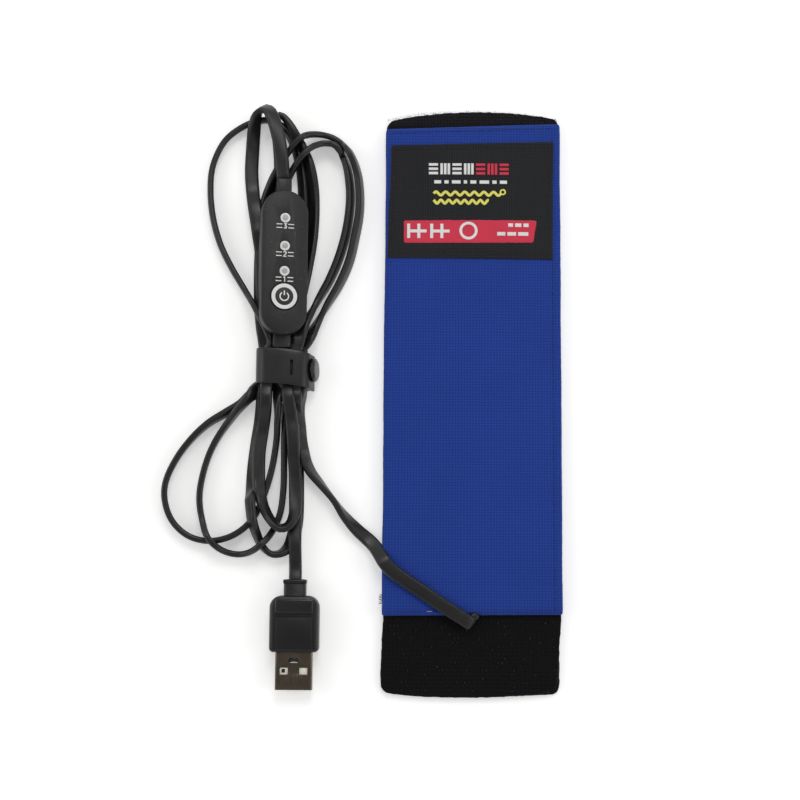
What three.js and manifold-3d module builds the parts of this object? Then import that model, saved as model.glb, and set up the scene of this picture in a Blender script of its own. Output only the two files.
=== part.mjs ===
// A telescope dew heater strip: a fabric heating pad with a hook tab, and its flat cord with an in-line
// controller, a USB plug and a snap strap round the cord's hank. All sizes are in millimetres.
// The pad lies flat with +Y along its length, and the origin is on the surface under its middle.
import * as THREE from 'three';
import { mergeVertices } from 'three/addons/utils/BufferGeometryUtils.js';
import Module from 'manifold-3d';

// Gap left between pieces that are cut by a neighbour or turned together.
const gap = 0.3;
// Extra radius of an outline's corners over the rounding of its edges.
const cornerExcess = 0.2;

// Pad, from the surface upwards.
const padWidth = 59;
const padLength = 196.4;
const lipLength = 6.2;
const hookTabLength = 26.6;
const padCornerRadius = 3.4;
const endCrown = 2.4;
const liningThickness = 1;
const hookTabThickness = 1.4;
const hookTabInset = 0.3;
const hookTabTuck = 1.6;
const coverHeight = 3.8;
const coverSkin = 0.6;
const coverShoulder = 1.1;

// Heating layers under the cover.
const filmThickness = 0.25;
const filmSideMargin = 4.5;
const filmEndMargin = 4;
const trackThickness = 0.2;
const trackWidth = 2;
const trackPitch = 6;
const trackSideMargin = 2;
const wiringBayLength = 20;
const foamSideMargin = 2;
const foamEndMargin = 2;
const terminalSize = 3.4;
const terminalThickness = 0.4;
const terminalSpacing = 6;
const leadWireDiameter = 1.1;
const leadWireSpacing = 2;
const cutoutLength = 6;
const cutoutWidth = 3.2;
const cutoutThickness = 1.6;
const cutoutCorner = 0.5;
const cutoutEdge = 0.3;

// Label patch and the printed band on it.
const labelWidth = 54.6;
const labelLength = 39.6;
const labelThickness = 0.6;
const labelOffsetX = -0.8;
const labelBelowCoverEnd = 5.9;
const labelCornerRadius = 0.8;
const bandWidth = 44.4;
const bandLength = 8;
const bandThickness = 0.12;
const bandOffsetX = -0.8;
const bandAboveLabelEdge = 5.2;

// Anchor that grips the end of the pad's cord at the lower hem.
const anchorWidth = 6;
const anchorLength = 4.6;
const anchorHeight = 3.4;
const anchorCorner = 0.8;
const anchorEdge = 0.6;
const anchorBelowCover = 1.5;
const anchorX = 2.2;
const anchorTurn = THREE.MathUtils.degToRad(-31);

// In-line controller, rolled a little on the cords that lie under it.
const controllerWidth = 15.4;
const controllerLength = 48.5;
const controllerHeight = 8.5;
const controllerEdge = 1;
const controllerWall = 1.2;
const partingOffset = -1;
const controllerPlace = new THREE.Vector3(-63.5, 43.85, 9.2);
const controllerRoll = THREE.MathUtils.degToRad(12);
const windowDiameter = 3;
const windowAbove = [14.7, 5.3, -3.1];
const buttonAbove = -11.6;
const buttonDiameter = 8.6;
const buttonProud = 0.4;
const buttonTravel = 0.4;
const flangeDiameter = 10;
const flangeThickness = 0.7;
const boardThickness = 1;
const boardMargin = 0.4;
const boardLift = 1.4;
const postDiameter = 2.4;
const postFromSide = 2.8;
const boardCorner = 1.5;
const ledSize = 1.6;
const ledHeight = 0.8;
const switchSize = 6;
const switchHeight = 1.8;
const plungerDiameter = 2.6;
const plungerHeight = 0.75;
const plungerWell = 1;
const plungerClearance = 0.1;
const capStemDiameter = 3.6;
const transistorWidth = 3;
const transistorLength = 4;
const chipWidth = 3.4;
const chipLength = 4.4;
const capacitorWidth = 1.8;
const capacitorLength = 3;
const componentHeight = 1.5;
const componentFromEdge = 2.2;

// Strain reliefs at the controller's two ends.
const reliefThickness = 3.4;
const reliefEdge = 0.8;
const reliefFlangeExtra = 2.4;
const reliefFlangeLength = 1.5;
const reliefBridgeInset = 1;
const reliefs = {
  strain_relief_upper: { width: 5, outside: 5, side: 1 },
  strain_relief_lower: { width: 6, outside: 3.7, side: -1 },
};

// Snap strap round the waist of the hank.
const strapWidth = 12.4;
const strapThickness = 1.2;
const strapLeft = -71.8;
const strapRight = -52;
const strapHeight = 9.5;
const strapCentreY = 9.4;
const strapCorner = 1.7;
const strapLean = THREE.MathUtils.degToRad(13);
const strapSkewTop = 1.6;
const strapSkewUnder = 3.7;
const strapInnerEnd = 1.9;
const slitWidth = 1.6;
const slitLength = 5.6;
const slitFromLeft = 10.6;
const slitAboveSnap = 0.6;
const snapCapDiameter = 7.9;
const snapCapThickness = 1.1;
const snapCapChamfer = 0.8;
const snapStemDiameter = 3;
const snapBaseDiameter = 4.2;
const snapBaseThickness = 0.5;
const snapCentreY = 8.4;

// USB plug.
const plugPlace = new THREE.Vector3(-57.9, -83.7, 4);
const overmouldWidth = 16;
const overmouldLength = 18.1;
const overmouldHeight = 8;
const overmouldShoulder = 3.8;
const overmouldEdge = 1.2;
const sleeveWidth = 7.2;
const sleeveLength = 5.3;
const sleeveThickness = 4.8;
const sleeveEdge = 0.9;
const overmouldCorner = 1.4;
const panelWidth = 11.4;
const panelLength = 12.2;
const panelDepth = 0.3;
const shellWidth = 12;
const shellHeight = 4.5;
const shellWall = 0.32;
const shellOutside = 12;
const shellInside = 6;
const shellCornerRadius = 0.6;
const windowWidth = 2.7;
const windowLength = 2.4;
const windowSpacing = 6.3;
const windowFromBody = 4.7;
const latchWidth = 3.1;
const latchLength = 1.6;
const latchFromBody = 1.8;
const tongueThickness = 1.84;
const tongueSetback = 0.6;
const carrierBaseLength = 5;
const contactWidth = 1;
const contactThickness = 0.2;
const contactLength = 6.4;
const contactSetback = 1;
const contactPlaces = [-3.5, -1, 1, 3.5];
const innerMouldLength = 4;
const innerMouldInset = 0.5;

// Cord. The routes are chosen by hand, and the hank's strands pass through the strap together.
const cordDiameter = 3.2;
const cordSides = 8;
const cordStep = 5;
const hankSides = 6;
const hankStep = 9;
const hankRight = -57.2;
const padLeadRoute = [
  [-53.2, -23, 1.7], [-50.4, -30.1, 1.7], [-44.4, -39.3, 2.2], [-38.5, -46.6, 4.8], [-34, -50.8, 6.7],
  [-27.5, -56.3, 7.1], [-17.3, -63.5, 7.1], [-9.2, -68.9, 7.1], [-5.2, -71.4, 7], [-1.4, -74, 5.4],
];
const archRoute = [
  [-63.7, 74.4, 8.2], [-64.2, 77.5, 8.2], [-65.6, 85.5, 7.8], [-67, 91.5, 7.2], [-68.5, 95.4, 6.8],
  [-70.7, 97.3, 6.4], [-72.8, 96.3, 6.2], [-73.8, 93.2, 6], [-74.6, 86.1, 5.4], [-75, 80, 4.8],
];
const plugLeadRoute = [[-58.4, -47.6, 1.8], [-58.3, -52, 2.5], [-58, -56.5, 3.6], [-57.9, -60, 4]];
const hankRoutes = [
  [
    [-67.4, 12, 3.6], [-67.4, 16.4, 3.4], [-69.2, 21.5, 2], [-72, 26.5, 1.8], [-78.1, 37.4, 1.8],
    [-84.4, 49.3, 1.8], [-87.7, 59.6, 1.8], [-88.7, 70, 1.8], [-88.1, 78.6, 1.8], [-84.2, 87.4, 1.8],
    [-78.5, 92.3, 1.8], [-73.1, 94.5, 1.8], [-68.4, 95.6, 1.8], [-64.3, 94.5, 1.8], [-61.2, 90, 1.8],
    [-58.7, 84.1, 1.8], [-57.2, 75.4, 1.8], [-56.1, 63.4, 1.8], [-56.2, 49.6, 1.8], [-57, 35.9, 1.8],
    [-58.3, 24, 1.8], [-59.4, 16.4, 3.4], [-59.6, 12, 3.6],
  ],
  [
    [-58.9, 12, 3.6], [-58.9, 16.4, 3.4], [-55.6, 23, 1.8], [-53.6, 36, 1.8], [-52.5, 53.1, 1.8],
    [-52.2, 66.9, 1.8], [-53.2, 75.6, 1.8], [-55.7, 84.3, 1.8], [-59.2, 91.2, 1.8], [-63, 95.4, 1.8],
    [-67.1, 94.3, 1.8], [-69.7, 89.4, 1.8], [-70.2, 80.7, 1.8], [-69.3, 66.8, 1.8], [-67.6, 49.6, 1.8],
    [-66, 32.5, 1.8], [-65.2, 22, 1.8], [-65, 16.4, 3.4], [-65, 12, 3.6],
  ],
  [
    [-59, 12, 4], [-58.6, 16.4, 3.6], [-51.6, 23, 1.8], [-44.6, 35.9, 1.8], [-39.4, 53.1, 1.8],
    [-37.7, 65.1, 1.8], [-38.2, 73.8, 1.8], [-40.7, 80.7, 1.8], [-47.6, 88.4, 1.8], [-52.7, 90.1, 1.8],
    [-57.1, 88.6, 1.8], [-65.1, 79.5, 1.8], [-70.2, 64.9, 1.8], [-71.1, 53, 1.8], [-70.8, 35.8, 1.8],
    [-69.6, 22, 1.8], [-68.3, 16.4, 3.6], [-68, 12, 3.8],
  ],
  [
    [-59.4, 12, 4], [-59, 16.4, 3.8], [-54.6, 23, 1.8], [-48.6, 35.9, 1.8], [-44.1, 53, 1.8],
    [-42.2, 65.1, 1.8], [-42, 73.8, 1.8], [-45.8, 83.5, 1.8], [-53.3, 83.4, 1.8], [-61, 76.4, 1.8],
    [-66.5, 63.2, 1.8], [-68.6, 36, 1.8], [-67.6, 22, 1.8], [-67, 16.4, 3.4], [-67, 12, 3.6],
  ],
  [
    [-67.8, 6, 3.9], [-67.9, 2.6, 3.8], [-70.8, -1.6, 2.2], [-77.9, -5, 1.8], [-90.4, -11.5, 1.8],
    [-96.8, -19.9, 1.8], [-101.5, -28.2, 1.8], [-102.2, -34.8, 1.8], [-99.9, -41.3, 1.8],
    [-94.2, -46.5, 1.8], [-87.2, -48.1, 1.8], [-79.1, -46.1, 1.8], [-74.2, -42.8, 1.8],
    [-69.7, -36.2, 1.8], [-66.6, -24.6, 1.8], [-65, -10, 1.8], [-65, -2, 3.2], [-65, 6, 3.6],
  ],
  [
    [-67.6, 6, 3.9], [-67.8, 2.6, 3.6], [-71.6, -3, 2], [-77.2, -8, 1.8], [-83, -13.5, 1.8],
    [-88.1, -23.1, 1.8], [-89.9, -31.4, 1.8], [-89.6, -39.6, 1.8], [-86.9, -46.8, 1.8], [-82.2, -51, 1.8],
    [-76.3, -52.6, 1.8], [-71, -50.9, 1.8], [-67.2, -47, 1.8], [-64.3, -42.7, 1.8], [-62.7, -34.5, 1.8],
    [-62.4, -22.9, 1.8], [-63.1, -10, 1.8], [-63.6, -2, 3.2], [-63.8, 6, 3.6],
  ],
  [
    [-67.8, 6, 4.4], [-68.6, -2, 3.4], [-69.8, -11.7, 1.8], [-71.8, -23.1, 1.8], [-73.4, -34.6, 1.8],
    [-72.8, -42.8, 1.8], [-70.8, -48.6, 1.8], [-68.3, -51.4, 1.8], [-65.6, -51.6, 1.8],
    [-63.1, -49, 1.8], [-62.2, -45, 1.8], [-60.4, -36, 1.8], [-59, -21.3, 1.8], [-59.3, -10, 1.8],
    [-59.6, -2, 3.4], [-60, 6, 4],
  ],
  [
    [-67.4, 6, 4.4], [-68.1, -2, 3.4], [-68.8, -11.8, 1.8], [-69.4, -23.2, 1.8], [-68.4, -32.9, 1.8],
    [-65.7, -40.1, 1.8], [-61.9, -43.1, 1.8], [-59.4, -41.1, 1.8], [-58.4, -34.6, 1.8],
    [-58.8, -23.1, 1.8], [-59.6, -10, 1.8], [-60.6, -2, 3.4], [-61.4, 6, 4],
  ],
  [[-68.2, 12, 5], [-68.4, 16.4, 4.8], [-71, 22, 2.6], [-73.2, 35.4, 1.9], [-74.4, 52.5, 1.9],
    [-74.9, 64.4, 2.8], [-75.1, 79.3, 4.7]],
  [[-59.3, 6, 3.6], [-59.2, -2, 3.4], [-58.8, -10, 1.8], [-58.5, -30, 1.8], [-58.5, -47.1, 1.8]],
  [[-59.4, 6, 4], [-58.8, -2, 3.6], [-56.4, -12, 1.9], [-53.5, -22.3, 1.8]],
];

// Worked-out levels and ends of the pad.
const halfLength = padLength / 2;
const coverTop = liningThickness + coverHeight;
const coverUpperY = halfLength - lipLength;
const coverLowerY = -halfLength + hookTabLength;
const coverLength = coverUpperY - coverLowerY;
const coverCentreY = (coverUpperY + coverLowerY) / 2;
const hookTabTop = liningThickness + hookTabThickness;
const filmTop = liningThickness + filmThickness;
const trackTop = filmTop + trackThickness;
const filmUpperY = coverUpperY - filmEndMargin;
const filmLowerY = coverLowerY + hookTabTuck + filmEndMargin;
const bayUpperY = coverLowerY + wiringBayLength;

const wasm = await Module();
wasm.setup();

function solidOf(geometry) {
  const bare = geometry.clone();
  bare.deleteAttribute('normal');
  bare.deleteAttribute('uv');
  const merged = mergeVertices(bare, 1e-4);
  const vertProperties = merged.attributes.position.array;
  const triVerts = Uint32Array.from(merged.index.array);
  return new wasm.Manifold(new wasm.Mesh({ numProp: 3, vertProperties, triVerts }));
}

function geometryOf(solid) {
  const mesh = solid.getMesh();
  const geometry = new THREE.BufferGeometry();
  geometry.setAttribute('position', new THREE.BufferAttribute(mesh.vertProperties.slice(), 3));
  geometry.setIndex(new THREE.BufferAttribute(mesh.triVerts.slice(), 1));
  geometry.computeVertexNormals();
  return geometry;
}

function cut(geometry, ...tools) {
  let solid = solidOf(geometry);
  for (const tool of tools) solid = solid.subtract(solidOf(tool));
  return geometryOf(solid);
}

function join(...geometries) {
  let solid = solidOf(geometries[0]);
  for (const geometry of geometries.slice(1)) solid = solid.add(solidOf(geometry));
  return geometryOf(solid);
}

function overlapOf(geometry, other) {
  return geometryOf(solidOf(geometry).intersect(solidOf(other)));
}

// A box by its middle in X and Y and by its lower and upper level.
function block(width, length, x, y, bottom, top) {
  return new THREE.BoxGeometry(width, length, top - bottom).translate(x, y, (bottom + top) / 2);
}

// An upright round bar by its place and levels.
function bar(diameter, x, y, bottom, top, sides = 24) {
  const cylinder = new THREE.CylinderGeometry(diameter / 2, diameter / 2, top - bottom, sides);
  return cylinder.rotateX(Math.PI / 2).translate(x, y, (bottom + top) / 2);
}

// A flat plate of the given outline between two levels.
function plate(shape, bottom, top) {
  const options = { depth: top - bottom, bevelEnabled: false, curveSegments: 8 };
  return new THREE.ExtrudeGeometry(shape, options).translate(0, 0, bottom);
}

// A plate with its upper and lower edges rounded by the same amount.
function roundedPlate(shape, bottom, top, edge, curveSegments = 2) {
  const options = {
    depth: top - bottom - 2 * edge, bevelThickness: edge, bevelSize: edge, bevelOffset: -edge,
    bevelSegments: 2, curveSegments,
  };
  return new THREE.ExtrudeGeometry(shape, options).translate(0, 0, bottom + edge);
}

function roundedRectangle(width, length, radius) {
  const shape = new THREE.Shape();
  const x = width / 2 - radius;
  const y = length / 2 - radius;
  shape.absarc(x, y, radius, 0, Math.PI / 2);
  shape.absarc(-x, y, radius, Math.PI / 2, Math.PI);
  shape.absarc(-x, -y, radius, Math.PI, 1.5 * Math.PI);
  shape.absarc(x, -y, radius, 1.5 * Math.PI, 2 * Math.PI);
  shape.closePath();
  return shape;
}

function stadium(width, length) {
  const shape = new THREE.Shape();
  const y = (length - width) / 2;
  shape.absarc(0, y, width / 2, 0, Math.PI);
  shape.absarc(0, -y, width / 2, Math.PI, 2 * Math.PI);
  shape.closePath();
  return shape;
}

// Pad outline with rounded corners and ends that bow outwards by the crown.
function crownedOutline(width, lowerY, upperY, lowerCrown, upperCrown) {
  const half = width / 2;
  const r = padCornerRadius;
  const shape = new THREE.Shape();
  shape.moveTo(half, lowerY + lowerCrown + r);
  shape.lineTo(half, upperY - upperCrown - r);
  shape.quadraticCurveTo(half, upperY - upperCrown, half - r, upperY - upperCrown * 0.8);
  shape.quadraticCurveTo(0, upperY + upperCrown * 0.8, -half + r, upperY - upperCrown * 0.8);
  shape.quadraticCurveTo(-half, upperY - upperCrown, -half, upperY - upperCrown - r);
  shape.lineTo(-half, lowerY + lowerCrown + r);
  shape.quadraticCurveTo(-half, lowerY + lowerCrown, -half + r, lowerY + lowerCrown * 0.8);
  shape.quadraticCurveTo(0, lowerY - lowerCrown * 0.8, half - r, lowerY + lowerCrown * 0.8);
  shape.quadraticCurveTo(half, lowerY + lowerCrown, half, lowerY + lowerCrown + r);
  return shape;
}

function tube(points, diameter, sides, step) {
  const curve = new THREE.CatmullRomCurve3(points.map((point) => new THREE.Vector3(...point)));
  const section = new THREE.Shape();
  for (let side = 0; side < sides; side++) {
    const angle = ((side + 0.5) / sides) * 2 * Math.PI;
    const x = (Math.cos(angle) * diameter) / 2;
    const y = (Math.sin(angle) * diameter) / 2;
    if (side === 0) section.moveTo(x, y);
    else section.lineTo(x, y);
  }
  section.closePath();
  const steps = Math.max(2, Math.round(curve.getLength() / step));
  return new THREE.ExtrudeGeometry(section, { steps, bevelEnabled: false, extrudePath: curve });
}

function material(color, roughness, metalness = 0) {
  return new THREE.MeshStandardMaterial({ color, roughness, metalness });
}

function add(parent, name, geometry, finish) {
  const mesh = new THREE.Mesh(geometry, finish);
  mesh.name = name;
  parent.add(mesh);
  return mesh;
}

const blueFabric = material(0x1f3fa8, 0.9);
const blackPile = material(0x0c0c0e, 1);
const blackHook = material(0x0e0e10, 0.85);
const patchFabric = material(0x121214, 0.9);
const redPrint = material(0xc8243f, 0.6);
const foam = material(0xd8d8d4, 1);
const polyimide = material(0x9a5a18, 0.4);
const copper = material(0xb06a3c, 0.35, 1);
const solder = material(0xb8bbc0, 0.3, 1);
const wireRed = material(0xa01818, 0.5);
const wireBlack = material(0x101010, 0.5);
const cordBlack = material(0x0d0d0e, 0.35);
const caseBlack = material(0x1c1c1d, 0.55);
const windowWhite = material(0xe8e8e6, 0.4);
const boardGreen = material(0x1d5a34, 0.5);
const partBlack = material(0x18181a, 0.5);
const partCream = material(0xd9cda6, 0.5);
const strapRubber = material(0x19191b, 0.5);
const snapPlastic = material(0x161617, 0.35);
const plugBlack = material(0x121213, 0.4);
const nickel = material(0x8d8a84, 0.25, 1);
const carrierCream = material(0xe6dfcb, 0.5);
const gold = material(0xd0a548, 0.3, 1);

function buildCover() {
  const half = padWidth / 2;
  const shoulder = coverShoulder;
  const section = new THREE.Shape();
  section.moveTo(-half, liningThickness);
  section.lineTo(half, liningThickness);
  section.lineTo(half, coverTop - shoulder);
  section.absarc(half - shoulder, coverTop - shoulder, shoulder, 0, Math.PI / 2);
  section.lineTo(-half + shoulder, coverTop);
  section.absarc(-half + shoulder, coverTop - shoulder, shoulder, Math.PI / 2, Math.PI);
  section.closePath();
  const options = { depth: coverLength, bevelEnabled: false, curveSegments: 4 };
  const outside = new THREE.ExtrudeGeometry(section, options);
  outside.rotateX(Math.PI / 2).translate(0, coverUpperY, 0);
  const roof = coverTop - coverSkin;
  const inside = block(
    padWidth - 2 * coverSkin, coverLength - 2 * coverSkin, 0, coverCentreY, liningThickness - 1, roof,
  );
  const tuckMouth = block(
    padWidth - 2 * coverSkin, 2 * hookTabTuck, 0, coverLowerY, liningThickness - 1, hookTabTop,
  );
  const wireMouthWidth = leadWireSpacing + leadWireDiameter + 2 * gap;
  const wireMouth = block(wireMouthWidth, 4 * coverSkin, anchorX, coverLowerY, liningThickness, roof);
  return cut(outside, inside, tuckMouth, wireMouth);
}

function buildTrack() {
  const half = padWidth / 2 - filmSideMargin - trackSideMargin;
  const upper = filmUpperY - trackSideMargin - trackWidth;
  const lower = bayUpperY + foamEndMargin;
  const rows = 2 * Math.floor((upper - lower) / trackPitch / 2) + 1;
  const rowRight = half - 2 * trackWidth;
  const pieces = [];
  for (let row = 0; row < rows; row++) {
    const y = lower + row * trackPitch;
    const width = rowRight + half;
    pieces.push(block(width, trackWidth, (rowRight - half) / 2, y, filmTop, trackTop));
    if (row < rows - 1) {
      const x = row % 2 === 0 ? rowRight - trackWidth / 2 : -half + trackWidth / 2;
      pieces.push(block(trackWidth, trackPitch + trackWidth, x, y + trackPitch / 2, filmTop, trackTop));
    }
  }
  const lastY = lower + (rows - 1) * trackPitch;
  const terminalY = filmLowerY + terminalSize;
  const returnX = half - trackWidth / 2;
  const returnLength = lastY - terminalY + trackWidth;
  const returnMiddle = (lastY + terminalY) / 2;
  pieces.push(block(trackWidth, returnLength, returnX, returnMiddle, filmTop, trackTop));
  pieces.push(block(half + half - trackWidth, trackWidth, trackWidth / 2, lastY, filmTop, trackTop));
  const leftX = anchorX - terminalSpacing / 2 - terminalSize / 2 - gap;
  const rightX = anchorX + terminalSpacing / 2 + terminalSize / 2 + gap;
  const footLength = half + leftX;
  pieces.push(block(trackWidth, lower - terminalY + trackWidth, -half + trackWidth / 2,
    (lower + terminalY) / 2, filmTop, trackTop));
  pieces.push(block(footLength, trackWidth, (leftX - half) / 2, terminalY, filmTop, trackTop));
  pieces.push(block(half - rightX, trackWidth, (half + rightX) / 2, terminalY, filmTop, trackTop));
  return join(...pieces);
}

function buildPad(group) {
  const lining = crownedOutline(padWidth, -halfLength, halfLength, endCrown / 2, endCrown);
  add(group, 'lining_panel', plate(lining, 0, liningThickness), blackPile);

  const tabWidth = padWidth - 2 * hookTabInset;
  const tabLowerY = -halfLength + hookTabInset;
  const tabShape = crownedOutline(tabWidth, tabLowerY, coverLowerY + 20, endCrown / 2, 0);
  const tab = plate(tabShape, liningThickness, hookTabTop);
  const tuckY = coverLowerY + hookTabTuck;
  const tabReach = block(padWidth * 2, padLength, 0, tuckY - padLength / 2, 0, coverTop);
  const tabNarrow = tabWidth / 2 - (padWidth / 2 - coverSkin - gap);
  const sideNotch = [-1, 1].map((side) => block(
    2 * tabNarrow, 2 * (hookTabTuck + gap), (side * tabWidth) / 2, tuckY, 0, coverTop,
  ));
  add(group, 'hook_tab', cut(overlapOf(tab, tabReach), ...sideNotch), blackHook);

  add(group, 'cover_fabric', buildCover(), blueFabric);

  const film = block(padWidth - 2 * filmSideMargin, filmUpperY - filmLowerY, 0,
    (filmUpperY + filmLowerY) / 2, liningThickness, filmTop);
  add(group, 'heating_film', film, polyimide);
  add(group, 'heater_trace', buildTrack(), copper);

  const foamUpperY = coverUpperY - coverSkin - foamEndMargin;
  const foamSlab = block(padWidth - 2 * coverSkin - 2 * foamSideMargin, foamUpperY - bayUpperY, 0,
    (foamUpperY + bayUpperY) / 2, trackTop, coverTop - coverSkin - gap);
  add(group, 'insulation_foam', foamSlab, foam);

  const terminalY = filmLowerY + terminalSize;
  const terminalTop = filmTop + terminalThickness;
  for (const [letter, side, finish] of [['a', -1, wireRed], ['b', 1, wireBlack]]) {
    const terminalX = anchorX + (side * terminalSpacing) / 2;
    const pad = block(terminalSize, terminalSize, terminalX, terminalY, filmTop, terminalTop);
    add(group, `solder_terminal_${letter}`, pad, solder);
    const startX = anchorX + (side * leadWireSpacing) / 2;
    const entryZ = hookTabTop + gap + leadWireDiameter / 2;
    const endZ = terminalTop + gap + leadWireDiameter / 2;
    const middleY = (coverLowerY + terminalY) / 2;
    const route = [
      [startX, coverLowerY - gap / 2, entryZ], [startX, coverLowerY + hookTabTuck, entryZ],
      [(startX + terminalX) / 2, middleY, entryZ], [terminalX, terminalY, endZ],
    ];
    const wire = tube(route, leadWireDiameter, 8, 3 * leadWireDiameter);
    add(group, `lead_wire_${letter}`, wire, finish);
  }

  const cutoutX = anchorX + terminalSpacing + terminalSize;
  const cutoutY = terminalY + trackWidth + cutoutWidth;
  const cutoutShape = roundedRectangle(cutoutLength, cutoutWidth, cutoutCorner);
  const cutout = roundedPlate(cutoutShape, filmTop, filmTop + cutoutThickness, cutoutEdge);
  add(group, 'thermal_cutout', cutout.translate(cutoutX, cutoutY, 0), partCream);

  const labelY = coverUpperY - labelBelowCoverEnd - labelLength / 2;
  const labelTop = coverTop + labelThickness;
  const label = plate(roundedRectangle(labelWidth, labelLength, labelCornerRadius), coverTop, labelTop);
  add(group, 'label_patch', label.translate(labelOffsetX, labelY, 0), patchFabric);
  const bandY = labelY - labelLength / 2 + bandAboveLabelEdge + bandLength / 2;
  const band = block(bandWidth, bandLength, labelOffsetX + bandOffsetX, bandY, labelTop,
    labelTop + bandThickness);
  add(group, 'label_band', band, redPrint);

  const anchorY = coverLowerY - anchorBelowCover - anchorLength / 2;
  const anchorShape = roundedRectangle(anchorWidth, anchorLength, anchorCorner);
  const anchor = roundedPlate(anchorShape, 0, anchorHeight, anchorEdge);
  anchor.rotateZ(anchorTurn).translate(anchorX, anchorY, hookTabTop);
  add(group, 'cord_anchor', anchor, cordBlack);
}

// Openings for the two strain reliefs, cut through both ends of the case.
function reliefMouths(clearance) {
  const half = controllerLength / 2;
  return Object.values(reliefs).map(({ width, side }) => {
    const depth = 4 * controllerWall;
    const reach = reliefThickness / 2 + clearance;
    const low = partingOffset - reach;
    const high = partingOffset + reach;
    return block(width + 2 * clearance, depth, 0, side * half, low, high);
  });
}

function buildRelief({ width, outside, side }) {
  const wallInside = controllerLength / 2 - controllerWall - gap;
  const end = controllerLength / 2 + outside;
  const start = wallInside - reliefFlangeLength;
  const low = partingOffset - reliefThickness / 2;
  const high = partingOffset + reliefThickness / 2;
  const neckOutline = roundedRectangle(width, end - start, reliefEdge + cornerExcess);
  const neck = roundedPlate(neckOutline, low, high, reliefEdge);
  neck.translate(0, (end + start) / 2, 0);
  const flangeWidth = width + reliefFlangeExtra;
  const endRadius = controllerWidth / 2;
  const dip = endRadius - Math.sqrt(endRadius ** 2 - (flangeWidth / 2) ** 2);
  const flangeY = wallInside - dip - gap - reliefFlangeLength / 2;
  const flange = block(flangeWidth, reliefFlangeLength, 0, flangeY, low, high);
  const bridgeLength = dip + gap + reliefFlangeLength;
  const bridge = block(width - reliefBridgeInset, bridgeLength, 0, wallInside - bridgeLength / 2,
    low + gap, high - gap);
  const piece = join(neck, flange, bridge);
  return side > 0 ? piece : piece.rotateZ(Math.PI);
}

function buildController(group) {
  const half = controllerHeight / 2;
  const outline = stadium(controllerWidth, controllerLength);
  const innerOutline = stadium(controllerWidth - 2 * controllerWall, controllerLength - 2 * controllerWall);
  const outer = roundedPlate(outline, -half, half, controllerEdge, 10);
  const room = plate(innerOutline, -half + controllerWall, half - controllerWall);
  const reach = controllerLength * 2;
  const upperPart = block(reach, reach, 0, 0, partingOffset + gap / 2, controllerHeight);
  const lowerPart = block(reach, reach, 0, 0, -controllerHeight, partingOffset - gap / 2);
  const windowHoles = windowAbove.map((y) => bar(windowDiameter + 2 * gap, 0, y, 0, controllerHeight));
  const buttonHole = bar(buttonDiameter + 2 * gap, 0, buttonAbove, 0, controllerHeight, 32);
  const mouths = reliefMouths(gap);
  const upper = cut(overlapOf(outer, upperPart), room, ...windowHoles, buttonHole, ...mouths);
  add(group, 'controller_upper_shell', upper, caseBlack);

  const floor = -half + controllerWall;
  const boardBottom = floor + boardLift;
  const boardTop = boardBottom + boardThickness;
  const postX = controllerWidth / 2 - controllerWall - postFromSide + postDiameter / 4;
  const postY = controllerLength / 2 - controllerWidth / 2;
  const posts = [[-1, -1], [1, -1], [-1, 1], [1, 1]].map(([sx, sy]) => bar(
    postDiameter, sx * postX, sy * postY, -half + controllerEdge, boardBottom - gap, 12,
  ));
  const lower = join(cut(overlapOf(outer, lowerPart), room, ...mouths), ...posts);
  add(group, 'controller_lower_shell', lower, caseBlack);

  const boardWidth = controllerWidth - 2 * controllerWall - 2 * boardMargin;
  const boardLength = controllerLength - controllerWidth + 2 * postDiameter;
  const board = plate(roundedRectangle(boardWidth, boardLength, boardCorner), boardBottom, boardTop);
  add(group, 'circuit_board', board, boardGreen);

  windowAbove.forEach((y, index) => {
    const chipTop = boardTop + gap + ledHeight;
    const chip = block(ledSize, ledSize, 0, y, boardTop + gap, chipTop);
    add(group, `led_chip_${index + 1}`, chip, partCream);
    add(group, `light_window_${index + 1}`, bar(windowDiameter, 0, y, chipTop + gap, half), windowWhite);
  });

  const switchBottom = boardTop + gap;
  const switchTop = switchBottom + switchHeight;
  const well = bar(plungerDiameter + 2 * gap, 0, buttonAbove, switchTop - plungerWell, switchTop + 1);
  const switchBody = cut(block(switchSize, switchSize, 0, buttonAbove, switchBottom, switchTop), well);
  add(group, 'switch_body', switchBody, partBlack);
  const plungerTop = switchTop + plungerHeight - (plungerWell - buttonTravel - plungerClearance);
  const plunger = bar(plungerDiameter, 0, buttonAbove, plungerTop - plungerHeight, plungerTop);
  add(group, 'switch_plunger', plunger, partCream);
  const capTop = half + buttonProud;
  const flangeTop = half - controllerWall - gap;
  const flangeBottom = flangeTop - flangeThickness;
  const cap = join(
    bar(flangeDiameter, 0, buttonAbove, flangeBottom, flangeTop, 32),
    bar(buttonDiameter, 0, buttonAbove, flangeTop - gap, capTop, 32),
    bar(capStemDiameter, 0, buttonAbove, plungerTop + gap, flangeTop - gap),
  );
  add(group, 'button_cap', cap, caseBlack);

  const besideX = boardWidth / 2 - componentFromEdge;
  const upperY = (windowAbove[0] + windowAbove[1]) / 2;
  const lowerY = (windowAbove[1] + windowAbove[2]) / 2;
  const component = (width, length, x, y) => block(width, length, x, y, boardTop + gap,
    boardTop + componentHeight);
  add(group, 'power_transistor', component(transistorWidth, transistorLength, besideX, upperY), partBlack);
  add(group, 'control_chip', component(chipWidth, chipLength, -besideX, lowerY), partBlack);
  add(group, 'capacitor', component(capacitorWidth, capacitorLength, besideX, lowerY), partCream);

  for (const [name, relief] of Object.entries(reliefs)) add(group, name, buildRelief(relief), cordBlack);
}

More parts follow.
